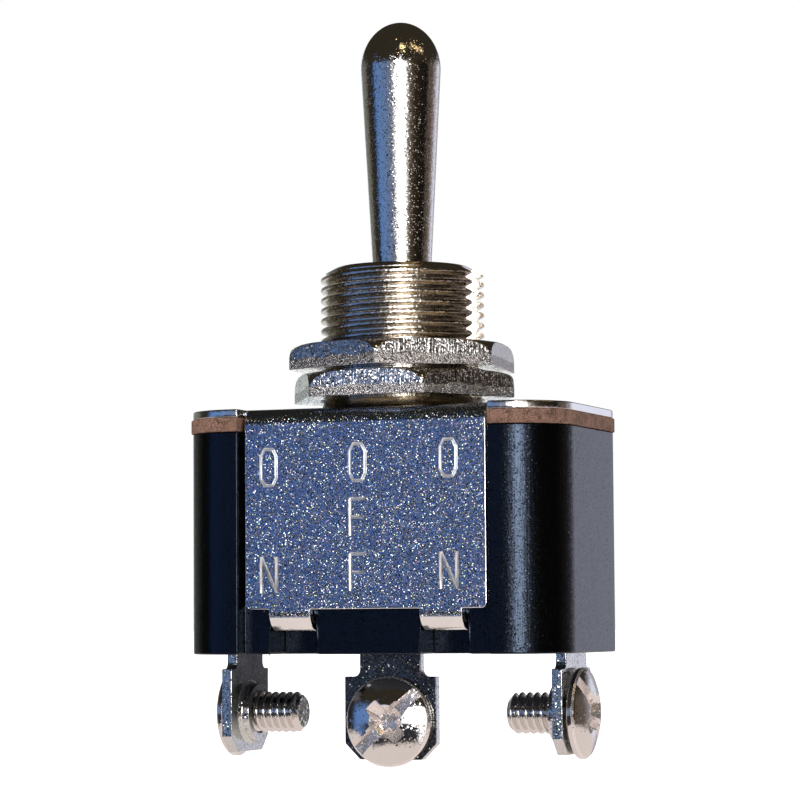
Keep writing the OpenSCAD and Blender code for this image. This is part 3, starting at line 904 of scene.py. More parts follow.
@dataclass(frozen=True)
class Phenolic(Finish):
    """Glossy black moulding with upright drag marks and a few specks."""

    def paint(self, coat: Coat) -> None:
        """Paints the gloss, the marks and the specks.

        Args:
            coat: The material's tree.
        """
        marks = coat.group(STREAKS, Width=0.22, Length=9.0).outputs[0]
        bloom = coat.group(GRIME, Size=3.0, Amount=0.5).outputs[0]
        speck = coat.below(coat.cells(1 / (2.1 * MM)).outputs["Distance"], 0.022)
        # The blue specular tint is a painted reflection colour: it turns the room's white highlight on the
        # case blue
        coat.set(IOR=1.5, Specular_IOR_Level=0.42, Specular_Tint=(0.56, 0.72, 1.0),
                 Base_Color=coat.mix(speck, self.colour, (0.22, 0.2, 0.18)),
                 Roughness=coat.plus(0.1, coat.times(marks, 0.06), coat.times(bloom, 0.06)))
        grain = coat.times(coat.noise(0.14, detail=3), 0.007 * MM)
        spangle = coat.group(SPANGLE, Size=0.08, Tilt=0.02, Share=0.3, Lean=0.1)
        coat.relief(coat.plus(grain, coat.times(marks, 0.012 * MM)), spangle.outputs["Normal"])


@dataclass(frozen=True)
class VulcanisedFibre(Finish):
    """Pressed brown fibre sheet with a frayed cut edge."""

    def paint(self, coat: Coat) -> None:
        """Paints the mottle and the lint.

        Args:
            coat: The material's tree.
        """
        mottle = coat.noise(0.55, detail=5, rough=0.65)
        squat = coat.add("Mapping", Vector=coat.place(), Scale=(1, 1, 2)).outputs[0]
        fibres = coat.noise(0.1, squat, detail=3, rough=0.8)
        tone = coat.mix(coat.rise(mottle, (0.36, 0.56)), self.tone(0.22), self.colour)
        lint = coat.rise(fibres, (0.5, 0.6))
        coat.set(Roughness=0.85, Specular_IOR_Level=0.25, Base_Color=coat.mix(lint, tone, self.tone(2.5)))
        coat.relief(coat.plus(coat.times(mottle, 0.2 * MM), coat.times(fibres, 0.05 * MM)))


@dataclass(frozen=True)
class PlainPart(Finish):
    """A small inner part: moulded, drawn or struck, with a light grain.

    Attributes:
        metal: How metallic it is.
        roughness: Its roughness where it is clean.
    """

    metal: float = 1.0
    roughness: float = 0.3

    def paint(self, coat: Coat) -> None:
        """Paints the grain and the bloom.

        Args:
            coat: The material's tree.
        """
        grain = coat.noise(0.15, detail=3)
        bloom = coat.group(GRIME, Size=1.5, Amount=0.4).outputs[0]
        coat.set(Metallic=self.metal, Roughness=coat.plus(self.roughness, coat.times(grain, 0.12)),
                 Base_Color=coat.mix(bloom, self.colour, self.tone(0.7)))
        coat.relief(coat.times(grain, 0.003 * MM))


BAT = BrightPlate("bat_nickel", "bat_nickel", (0.76, 0.73, 0.69), 0.05, 0.2, 0.01, share=0.32, lean=0.15,
                  facet=0.075)
BUSHING_NICKEL = BrightPlate("bushing_nickel", "nickel_plate", (0.68, 0.63, 0.56), 0.06, 0.14, 0.014,
                             share=0.3, lean=0.13)
# Darker, browner nickel for the bushing's foot: painted shade and painted golden reflection under the lower
# nut
NECK_SHADED_NICKEL = BrightPlate("neck_nickel_painted_shade", "nickel_plate", (0.42, 0.33, 0.2), 0.12, 0.4, 0.004)
SCREW_NICKEL = BrightPlate("screw_nickel", "screw_plate", (0.78, 0.75, 0.72), 0.06, 0.35, 0.005,
                           share=0.12, lean=0.1)
# Pale, partly matt nickel for the screws' slot and cross: a painted highlight in place of the bright
# reflections inside the recess
RECESS_HIGHLIGHT_NICKEL = BrightPlate("recess_nickel_painted_highlight", "screw_plate", (0.92, 0.85, 0.81), 0.22, 0.3, 0.03,
                            metal=0.85, share=0.2, lean=0.2)
# Near-black brown for the screws' flat end: painted shade in place of the hollow of a concave end
SHADED_CUT_END = SatinSheet("cut_end_painted_shade", "screw_plate", (0.1, 0.08, 0.05), roughness=0.15, grain=0.13, share=0.4,
                     lean=0.7, glint=1.0)
# Pale plating for the frame's edges and the tabs' undersides: a painted highlight on the edges and a
# painted reflection of the floor under the tabs
EDGE_HIGHLIGHT_PLATE = BrightPlate("edge_plate_painted_highlight", "zinc_plate", (0.88, 0.86, 0.84), 0.12, 0.2, 0.012)
FRAME_PLATE = SatinSheet("frame_plate", "zinc_plate", (0.39, 0.52, 0.8))
# Near-white plating for the letters' grooves: a painted highlight
STRUCK_HIGHLIGHT_PLATE = BrightPlate("struck_plate_painted_highlight", "zinc_plate", (0.96, 0.96, 0.96), 0.25, 0.15, 0.01, metal=0.9)
# The lugs' plating, with painted shade on the left lug's inner face and on the middle lug's front
TERMINAL_PLATE = SatinSheet("terminal_plate", "terminal_plate", (0.7, 0.68, 0.66), roughness=0.1,
                            grain=0.07, tilt=0.1, share=0.2, glint=0.8, painted_shade=1.0)
BLACK_PHENOLIC = Phenolic("black_phenolic", "phenolic", (0.0012, 0.0012, 0.0014))
BROWN_FIBRE = VulcanisedFibre("brown_fibre", "fibre", (0.2, 0.112, 0.08))
STEEL = PlainPart("plain_steel", "plain_steel", (0.55, 0.54, 0.52))
ACETAL = PlainPart("acetal", "plunger_plastic", (0.72, 0.7, 0.62), metal=0.0, roughness=0.4)
COPPER = PlainPart("copper_alloy", "copper_alloy", (0.72, 0.42, 0.22))
SILVER = PlainPart("contact_silver", "contact_metal", (0.82, 0.8, 0.75), roughness=0.25)
UPPER_PLATE, LOWER_PLATE = [ShearedPlate(f"{node}_nickel", "nut_plate", (0.74, 0.72, 0.7),
                                         low=box_of(node)[0].z, high=box_of(node)[1].z)
                            for node in ("upper_nut", "lower_nut")]
FINISHES = {finish.name: finish.build() for finish in (
    BAT, BUSHING_NICKEL, NECK_SHADED_NICKEL, SCREW_NICKEL, RECESS_HIGHLIGHT_NICKEL, SHADED_CUT_END, FRAME_PLATE, EDGE_HIGHLIGHT_PLATE,
    STRUCK_HIGHLIGHT_PLATE, TERMINAL_PLATE, BLACK_PHENOLIC, BROWN_FIBRE, STEEL, ACETAL, COPPER, SILVER, UPPER_PLATE,
    LOWER_PLATE)}


# ---------------------------------------------------------------- sub-assemblies


@dataclass
class Part:
    """A piece of the switch that stands for a CAD node.

    Attributes:
        node: The CAD node.
    """

    node: str

    @property
    def low(self) -> Vector:
        """The node's lowest corner, in metres."""
        return box_of(self.node)[0]

    @property
    def high(self) -> Vector:
        """The node's highest corner, in metres."""
        return box_of(self.node)[1]

    def dress(self, piece: Object, finish: Finish, body: str) -> None:
        """Gives a new piece its finish and its body, and hides the CAD node that it stands for.

        Args:
            piece: The finished piece.
            finish: Its finish.
            body: The body that it rides on.
        """
        piece.data.materials.clear()
        piece.data.materials.append(FINISHES[finish.name])
        for face in piece.data.polygons:
            face.material_index = 0
        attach(piece, body)
        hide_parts(self.node)
        LOG.info("%s: %d faces, %s, on %s", piece.name, len(piece.data.polygons), finish.name, body)

    def second_finish(self, piece: Object, finish: Finish, test: Callable[[MeshPolygon], bool]) -> None:
        """Gives the faces that pass a test one more finish.

        Args:
            piece: The piece, already dressed.
            finish: The added finish.
            test: The test.
        """
        piece.data.materials.append(FINISHES[finish.name])
        for face in piece.data.polygons:
            if test(face):
                face.material_index = len(piece.data.materials) - 1


# One pitch of a thread from root to root: the place along it, and the rise from root to crest
TURNED = ((-0.5, 0.0), (-0.44, 0.0), (-0.2, 0.8), (-0.13, 0.96), (0.0, 1.0), (0.13, 0.96), (0.2, 0.8),
          (0.44, 0.0), (0.5, 0.0))
ROLLED = ((-0.5, 0.0), (-0.44, 0.0), (-0.23, 0.7), (-0.16, 0.88), (-0.08, 0.97), (0.0, 1.0), (0.08, 0.97),
          (0.16, 0.88), (0.23, 0.7), (0.44, 0.0), (0.5, 0.0))


@dataclass
class Thread:
    """A right-handed helical thread with rounded crests.

    Attributes:
        radius: The major radius, in metres.
        depth: The thread's depth, in metres.
        pitch: The advance in one turn, in metres.
        steps: The facets in a turn.
        phase: The height of a crest on +X, in metres.
        form: The thread's form over one pitch.
    """

    radius: float
    depth: float
    pitch: float
    steps: int
    phase: float
    form: Sequence[Flat]

    def rod(self, name: str, low: float, high: float) -> Object:
        """Winds the thread between two heights and closes both ends flat.

        Args:
            name: The new object's name.
            low: The lower end, in metres.
            high: The upper end, in metres.

        Returns:
            A closed threaded rod along Z.
        """
        extra = 1.5 * self.pitch
        turns = int((high - low + 2 * extra) / self.pitch) + 3
        first = low - extra - (low - extra - self.phase) % self.pitch
        root = self.radius - self.depth
        piece = outline(name, [(root + self.depth * rise, first + self.pitch * along)
                               for along, rise in self.form], closed=False)
        wind(piece, self.steps, screw_offset=self.pitch, iterations=turns)
        with editing(piece):
            bpy.ops.mesh.remove_doubles(threshold=1e-7)
            for z, clear in ((high, "clear_outer"), (low, "clear_inner")):
                bpy.ops.mesh.select_all(action="SELECT")
                bpy.ops.mesh.bisect(plane_co=(0, 0, z), plane_no=(0, 0, 1), use_fill=True, threshold=1e-8,
                                    **{clear: True})
            bpy.ops.mesh.select_all(action="SELECT")
            bpy.ops.mesh.normals_make_consistent(inside=False)
        return piece


@dataclass
class BatLever(Part):
    """The bat, with its ball and the hollow nose inside the switch.

    Attributes:
        bat_r: The bat's largest radius.
        dome_h: The height of its rounded end.
        neck_r: Its radius at the bushing's rim.
        nose_r: The nose's radius.
        bore_r: The radius of the plunger's bore.
        bore_roof: The bore's end below the pivot.
        bore_lip: The chamfer in the bore's mouth.
        nose_lip: The chamfer round the nose's end.
    """

    bat_r: float = 2.95 * MM
    dome_h: float = 3.5 * MM
    neck_r: float = 2.15 * MM
    nose_r: float = 2.4 * MM
    bore_r: float = 1.7 * MM
    bore_roof: float = 1.3 * MM
    bore_lip: float = 0.1 * MM
    nose_lip: float = 0.15 * MM

    def build(self) -> None:
        """Turns the bat, the ball and the nose."""
        low_z, ball_r, rim_z = self.low.z, self.high.x, box_of("bushing")[1].z
        dome_z = self.high.z - self.dome_h
        neck_up, nose_down = [degrees(atan2(sqrt(ball_r**2 - r**2), r))
                              for r in (self.neck_r, self.nose_r)]
        points = [(0.0, PIVOT_Z - self.bore_roof), (self.bore_r, PIVOT_Z - self.bore_roof),
                  (self.bore_r, low_z + self.bore_lip), (self.bore_r + self.bore_lip, low_z),
                  (self.nose_r - self.nose_lip, low_z), (self.nose_r, low_z + self.nose_lip),
                  *arc((0.0, PIVOT_Z), (ball_r, ball_r), -nose_down, neck_up, 28)]
        points += [(self.neck_r + (self.bat_r - self.neck_r) * t, rim_z + (dome_z - rim_z) * t)
                   for t in (0.0, 0.25, 0.5, 0.75)]
        points += [*arc((0.0, dome_z), (self.bat_r, self.dome_h), 0, 89, 22), (0.0, self.high.z)]
        piece = turned("bat_lever", points)
        smooth(piece, 30)
        self.dress(piece, BAT, "lever")


@dataclass
class Bushing(Part):
    """The turned bushing: true thread, keyway, rim and the ball's socket.

    Attributes:
        thread_r: The thread's major radius.
        engaged_r: The thread's radius inside the nuts.
        depth: The thread's depth.
        pitch: The thread's pitch.
        crest_z: The height of a crest on +X.
        rim_w: The width of the rim's chamfer.
        rim_h: The height of that chamfer.
        soft: The rounding at its inner end.
        plate_z: The top of the frame's plate.
        shoulder_h: The shoulder's height.
        key_w: The keyway's width.
        key_floor: The keyway's distance from the axis.
        pin_slot: Half the width and half the length of the pivot pin's slot.
        spigot_r: The radius in the plate's hole.
        stake: The staked flange's lip and thickness.
        seat_r: The ball seat's radius.
        lip_r: The radius of the lip over the ball.
        mouth_r: The mouth's radius above the lip, where the flare starts and where it ends.
        skirt_r: The bore's radius at the foot.
        skirt_h: The height of that flare, below the pivot.
        flare: How far the shoulder's side curves in, and over what height.
    """

    thread_r: float = 6.0 * MM
    engaged_r: float = 5.77 * MM
    depth: float = 0.46 * MM
    pitch: float = 0.75 * MM
    crest_z: float = 2.931 * MM
    rim_w: float = 1.1 * MM
    rim_h: float = 0.65 * MM
    soft: float = 0.14 * MM
    plate_z: float = -4.8 * MM
    shoulder_h: float = 0.75 * MM
    key_w: float = 2.4 * MM
    key_floor: float = 5.1 * MM
    pin_slot: Flat = (0.8 * MM, 4.75 * MM)
    spigot_r: float = 4.91 * MM
    stake: float = 0.6 * MM
    seat_r: float = 3.95 * MM
    lip_r: float = 3.3 * MM
    mouth_r: Flat = (3.6 * MM, 3.8 * MM)
    skirt_r: float = 4.27 * MM
    skirt_h: float = 3.5 * MM
    flare: Flat = (0.42 * MM, 0.7 * MM)

    @property
    def shoulder_z(self) -> float:
        """The shoulder's top, in metres."""
        return self.plate_z + self.shoulder_h

    def build(self) -> None:
        """Winds the thread, trims it to the turned blank and cuts the keyway."""
        shoulder_z, half = self.shoulder_z, self.key_w / 2
        thread = Thread(self.thread_r, self.depth, self.pitch, 128, self.crest_z, TURNED)
        piece = thread.rod("threaded_bushing", shoulder_z - 0.02 * MM, self.high.z + 0.1 * MM)
        boolean(piece, self.blank(), Cut.KEEP)
        boolean(piece, self.foot(), Cut.JOIN)
        boolean(piece, self.socket(), Cut.OFF)
        boolean(piece, block("key", (self.key_floor, -half, shoulder_z), (9 * MM, half, 9 * MM)), Cut.OFF)
        wide, far = self.pin_slot
        boolean(piece, block("slot", (-wide, -far, self.low.z - MM), (wide, far, PIVOT_Z)), Cut.OFF)
        tidy(piece, 0.0008)
        smooth(piece, 30)
        self.dress(piece, BUSHING_NICKEL, "switch_body")
        # The flared foot under the lower nut gets the darker nickel, as painted shade
        self.second_finish(piece, NECK_SHADED_NICKEL, lambda face: face.center.z < shoulder_z - 0.01 * MM)

    def blank(self) -> Object:
        """Turns the solid that the thread is trimmed to.

        Returns:
            The solid.
        """
        out, rim_r, top = self.thread_r + 0.05 * MM, self.thread_r - self.rim_w, self.high.z
        sunk = self.shoulder_z - 0.01 * MM
        return turned("blank", [
            (0, sunk), (self.engaged_r, sunk), (self.engaged_r, 0), (out, 0), (out, top - self.rim_h),
            (rim_r + self.soft * 2, top - self.soft), (rim_r, top), (0, top)])

    def foot(self) -> Object:
        """Turns the flared shoulder and the staked spigot under it.

        Returns:
            The solid.
        """
        wide, low_z, top, core = self.high.x, self.low.z, self.shoulder_z, 5 * MM
        flange, under = self.spigot_r + self.stake, self.plate_z - self.stake
        return turned("foot", [
            (0, low_z), (flange, low_z), (flange, under), (self.spigot_r, under),
            (self.spigot_r, self.plate_z), (wide - 0.02 * MM, self.plate_z),
            (wide, self.plate_z + 0.05 * MM),
            *[(wide - self.flare[0] * sin(t * pi / 12), top - self.flare[1] * cos(t * pi / 12))
              for t in range(7)],
            (core, top), (core, top + 0.3 * MM), (0, top + 0.3 * MM)])

    def socket(self) -> Object:
        """Turns the cutter for the lip, the ball's seat and the flared skirt.

        Returns:
            The solid.
        """
        seat, (mouth, brim) = self.seat_r, self.mouth_r
        low_z, high_z = self.low.z, self.high.z
        up = degrees(atan2(sqrt(seat**2 - self.lip_r**2), self.lip_r))
        return turned("socket", [
            (0, low_z - MM), (self.skirt_r, low_z - MM), (self.skirt_r, low_z),
            (seat, PIVOT_Z - self.skirt_h), *arc((0, PIVOT_Z), (seat, seat), 0, up, 8),
            (mouth, high_z - 0.15 * MM), (brim, high_z + 0.05 * MM), (brim, high_z + MM),
            (0, high_z + MM)])


@dataclass
class PanelNut(Part):
    """A hexagon nut stamped from sheet, with a rolled upper edge.

    Attributes:
        turn: Its angle, in degrees.
        finish: Its finish.
        across: Its size across the flats.
        bore_r: Its bore's radius.
        sink: The countersink at both ends.
        roll: The radius of the rolled edge.
        soft: The chamfer round its underside.
        blunt: How far the roll cuts its corners back.
    """

    turn: float
    finish: Finish
    across: float = 15.0 * MM
    bore_r: float = 5.82 * MM
    sink: float = 0.3 * MM
    roll: float = 1.1 * MM
    soft: float = 0.05 * MM
    blunt: float = 0.06 * MM

    def build(self) -> None:
        """Makes the hexagon, rolls its top edge and bores it."""
        low_z, high_z = self.low.z, self.high.z
        corner = self.across / 2 / cos(pi / 6)
        deselect()
        bpy.ops.mesh.primitive_cylinder_add(vertices=6, radius=corner, depth=high_z - low_z,
                                            location=(0, 0, (low_z + high_z) / 2),
                                            rotation=(0, 0, radians(self.turn + 90)))
        piece = bpy.context.object
        piece.name = self.node + "_blank"
        settle(piece)
        reach = corner - self.blunt
        boolean(piece, turned("roll", [
            (0, low_z), (reach - self.soft, low_z), (reach, low_z + self.soft),
            *arc((reach - self.roll, high_z - self.roll), (self.roll, self.roll), 0, 90, 12),
            (0, high_z)], 144), Cut.KEEP)
        wide = self.bore_r + self.sink + MM
        boolean(piece, turned("bore", [
            (0, low_z - MM), (wide, low_z - MM), (self.bore_r, low_z + self.sink),
            (self.bore_r, high_z - self.sink), (wide, high_z + MM), (0, high_z + MM)]), Cut.OFF)
        tidy(piece, 0.0008)
        break_edges(piece, 0.05, angle=28)
        self.dress(piece, self.finish, self.node)


@dataclass
class Stamp:
    """One letter of the stamped legend, as strokes about its middle.

    Attributes:
        strokes: Each stroke's points, across and up, in letter widths and heights.
        closed: Whether the stroke runs back to its start.
    """

    strokes: Sequence[Sequence[Flat]]
    closed: bool = False


LETTER_O = Stamp([[(-0.5, -0.3), (-0.5, 0.3), (-0.26, 0.5), (0.26, 0.5), (0.5, 0.3), (0.5, -0.3),
                   (0.26, -0.5), (-0.26, -0.5)]], closed=True)
LETTER_N = Stamp([[(-0.5, -0.5), (-0.5, 0.5)], [(-0.5, 0.5), (0.5, -0.5)], [(0.5, -0.5), (0.5, 0.5)]])
LETTER_F = Stamp([[(-0.5, -0.5), (-0.5, 0.5)], [(-0.5, 0.5), (0.5, 0.5)], [(-0.5, 0.0), (0.4, 0.0)]])

# Each letter, and its middle across and below the plate's top, in millimetres
LEGEND = ((LETTER_O, -7.3, -4.24), (LETTER_N, -7.3, -11.93), (LETTER_O, -0.45, -4.01),
          (LETTER_F, -0.45, -7.91), (LETTER_F, -0.45, -11.81), (LETTER_O, 6.4, -3.87),
          (LETTER_N, 6.4, -11.74))


@dataclass
class FoldedFrame(Part):
    """The folded steel frame, with its stamped legend.

    Attributes:
        edge: The width of the rolled edges, in millimetres.
        sheet: The sheet's thickness.
        skirt_y: The skirts' outer faces.
        skirt_w: The skirts' width.
        skirt_h: The skirts' height, from the plate's top.
        bend_r: The outer radius of the skirts' bends.
        gap_w: The width of a skirt with the slits beside it.
        corner_r: The plate's corners.
        hole_r: The bushing's hole.
        tab_pitch: The distance between a skirt's two tabs.
        tab_w: A tab's width.
        tab_l: A tab's length under the case.
        tab_bend_r: The outer radius of the tabs' bends.
        hem_r: The rounding of the skirts' lower corners.
        letter_h: The letters' height.
        letter_w: The letters' width.
        groove: The letters' depth.
    """

    edge: float = 0.09
    sheet: float = 0.6 * MM
    skirt_y: float = 7.95 * MM
    skirt_w: float = 18.4 * MM
    skirt_h: float = 14.4 * MM
    bend_r: float = 1.25 * MM
    gap_w: float = 19.0 * MM
    corner_r: float = 4.2 * MM
    hole_r: float = 4.914 * MM
    tab_pitch: float = 11.5 * MM
    tab_w: float = 3.2 * MM
    tab_l: float = 2.75 * MM
    tab_bend_r: float = 1.4 * MM
    hem_r: float = 0.4 * MM
    letter_h: float = 2.6 * MM
    letter_w: float = 1.18 * MM
    groove: float = 0.13 * MM

    def build(self) -> None:
        """Cuts the plate, folds the skirts, rounds the edges and stamps the front."""
        piece = self.plate()
        for side in (-1, 1):
            self.fold(piece, side)
        with editing(piece):
            bpy.ops.mesh.dissolve_limited(angle_limit=radians(0.3))
        break_edges(piece, self.edge, 3)
        punches = [bar for stamp, x, z in LEGEND
                   for bar in self.letter(stamp, x * MM, self.high.z + z * MM)]
        boolean(piece, join(punches), Cut.OFF, itself=True)
        smooth(piece, 35)
        self.dress(piece, FRAME_PLATE, "switch_body")
        # The edges and the tabs' undersides are painted pale, as painted highlight and painted reflection
        self.second_finish(piece, EDGE_HIGHLIGHT_PLATE, self.is_cut_edge)
        # The letters' grooves are painted near white, as a painted highlight
        self.second_finish(piece, STRUCK_HIGHLIGHT_PLATE, self.is_struck)

    def is_cut_edge(self, face: MeshPolygon) -> bool:
        """Tells whether a face lies on the sheet's sheared edge or under a tab's bend, where the plate gets
        its painted highlight and painted floor reflection.

        Args:
            face: The face.

        Returns:
            Whether it does.
        """
        spot, lean = face.center, face.normal
        if abs(lean.x) > 0.2 or (abs(spot.x) > self.gap_w / 2 and abs(lean.z) < 0.7):
            return True
        below_hem = spot.z - (self.high.z - self.skirt_h)
        return lean.z < -0.5 and abs(below_hem) < 0.2 * MM or lean.z < -0.3 and below_hem < -0.3 * MM

    def is_struck(self, face: MeshPolygon) -> bool:
        """Tells whether a face lies in a letter's groove.

        Args:
            face: The face.

        Returns:
            Whether it does.
        """
        margin = 0.004 * MM
        lowest, highest, widest = -18.2 * MM, -7 * MM, 8.5 * MM
        x, y, z = face.center
        return (margin < y + self.skirt_y < self.groove + margin and lowest < z < highest
                and abs(x) < widest)

    def plate(self) -> Object:
        """Cuts the flat plate, with its hole and the slits beside the skirts' bends.

        Returns:
            The plate.
        """
        top, half = self.high.z, self.skirt_w / 2
        piece = block("folded_frame", (self.low.x, self.low.y, top - self.sheet), self.high)
        with editing(piece):
            pick(piece, Pick.EDGE, lambda a, b: abs(a.z - b.z) > self.sheet / 2)
            bpy.ops.mesh.bevel(offset=self.corner_r, segments=16, affect="EDGES")
        start, far = self.skirt_y - self.bend_r, 2 * self.skirt_y
        for front in (-1, 1):
            for side in (-1, 1):
                across = sorted((side * half, side * self.gap_w / 2))
                along = sorted((front * start, front * far))
                slit = block("slit", (across[0], along[0], top - MM), (across[1], along[1], top + MM))
                boolean(piece, slit, Cut.OFF)
        boolean(piece, turned("hole", [(0, top - MM), (self.hole_r, top - MM), (self.hole_r, top + MM),
                                       (0, top + MM)], 96), Cut.OFF)
        # The two tongues go, and the plate is closed where the bends begin
        with editing(piece):
            for side in (-1, 1):
                bpy.ops.mesh.select_all(action="SELECT")
                bpy.ops.mesh.bisect(plane_co=(0, side * start, 0), plane_no=(0, side, 0), threshold=1e-7)
            pick(piece, Pick.FACE, lambda p: abs(p.y) > start + NEAR and abs(p.x) < half + NEAR)
            bpy.ops.mesh.delete(type="FACE")
            bpy.ops.mesh.select_mode(type="EDGE")
            bpy.ops.mesh.select_all(action="DESELECT")
            bpy.ops.mesh.select_non_manifold()
            bpy.ops.mesh.edge_face_add()
        return piece

    def fold(self, piece: Object, side: int) -> None:
        """Draws a skirt and its two tabs out of the plate's edge.

        Args:
            piece: The plate.
            side: The skirt's side, as the sign of Y.
        """
        top, foot = self.high.z, self.low.z
        y, r, t = self.skirt_y, self.bend_r, self.tab_bend_r
        start, hem = y - r, top - self.skirt_h
        inner, outer = (self.tab_pitch - self.tab_w) / 2, (self.tab_pitch + self.tab_w) / 2
        near = 5 * NEAR

        def at_corner(point: Vector) -> bool:
            """Tells whether a point is at a lower corner of this skirt."""
            return (abs(point.z - hem) < near and abs(abs(point.x) - self.skirt_w / 2) < near
                    and side * point.y > 0)

        def bend(axis_y: float, axis_z: float) -> None:
            """Turns the selected edge a quarter about a line along X."""
            bpy.ops.mesh.spin(steps=10, angle=side * pi / 2, center=(0, axis_y, axis_z), axis=(1, 0, 0))

        with editing(piece):
            pick(piece, Pick.FACE, lambda p: abs(p.y - side * start) < near and abs(p.x) < near)
            bend(side * start, top - r)
            extrude(0, 0, hem - (top - r))
            for x in (-outer, -inner, inner, outer):
                pick(piece, Pick.FACE, lambda p: p.z < top - r - near and side * p.y > 0)
                bpy.ops.mesh.bisect(plane_co=(x, 0, 0), plane_no=(1, 0, 0), threshold=1e-7)
            pick(piece, Pick.FACE,
                 lambda p: abs(p.z - hem) < near and side * p.y > 0 and inner < abs(p.x) < outer)
            extrude(0, 0, foot + t - hem)
            bend(side * (y - t), foot + t)
            extrude(0, -side * (self.tab_l - t), 0)
            pick(piece, Pick.EDGE, lambda a, b: at_corner(a) and at_corner(b))
            bpy.ops.mesh.bevel(offset=self.hem_r, segments=5, affect="EDGES")
            bpy.ops.mesh.select_all(action="SELECT")
            bpy.ops.mesh.normals_make_consistent(inside=False)

    def letter(self, stamp: Stamp, x: float, z: float) -> list[Object]:
        """Makes a letter's strokes as round bars on the skirt's face.

        Args:
            stamp: The letter.
            x: The middle's place across.
            z: The middle's height.

        Returns:
            One bar per stroke.
        """
        bars = []
        for stroke in stamp.strokes:
            curve = bpy.data.curves.new("stroke", "CURVE")
            curve.dimensions = "3D"
            curve.bevel_depth = self.groove
            curve.bevel_resolution = 3
            curve.use_fill_caps = True
            spline = curve.splines.new("POLY")
            spline.points.add(len(stroke) - 1)
            for point, (across, up) in zip(spline.points, stroke):
                point.co = (x + across * self.letter_w, -self.skirt_y, z + up * self.letter_h, 1)
            spline.use_cyclic_u = stamp.closed
            take(add_object("stroke", curve))
            bpy.ops.object.convert(target="MESH")
            bars.append(bpy.context.object)
        return bars


@dataclass
class EdgedPart(Part):
    """A moulded, cut or folded part that keeps its CAD form, with its edges broken.

    Attributes:
        name: The new piece's name.
        finish: Its finish.
        edge: The width of the broken edges, in millimetres.
    """

    name: str
    finish: Finish
    edge: float

    def build(self) -> None:
        """Copies the node, breaks its edges and dresses it."""
        piece = clean_copy(self.node, self.name)
        break_edges(piece, self.edge)
        self.dress(piece, self.finish, "switch_body")


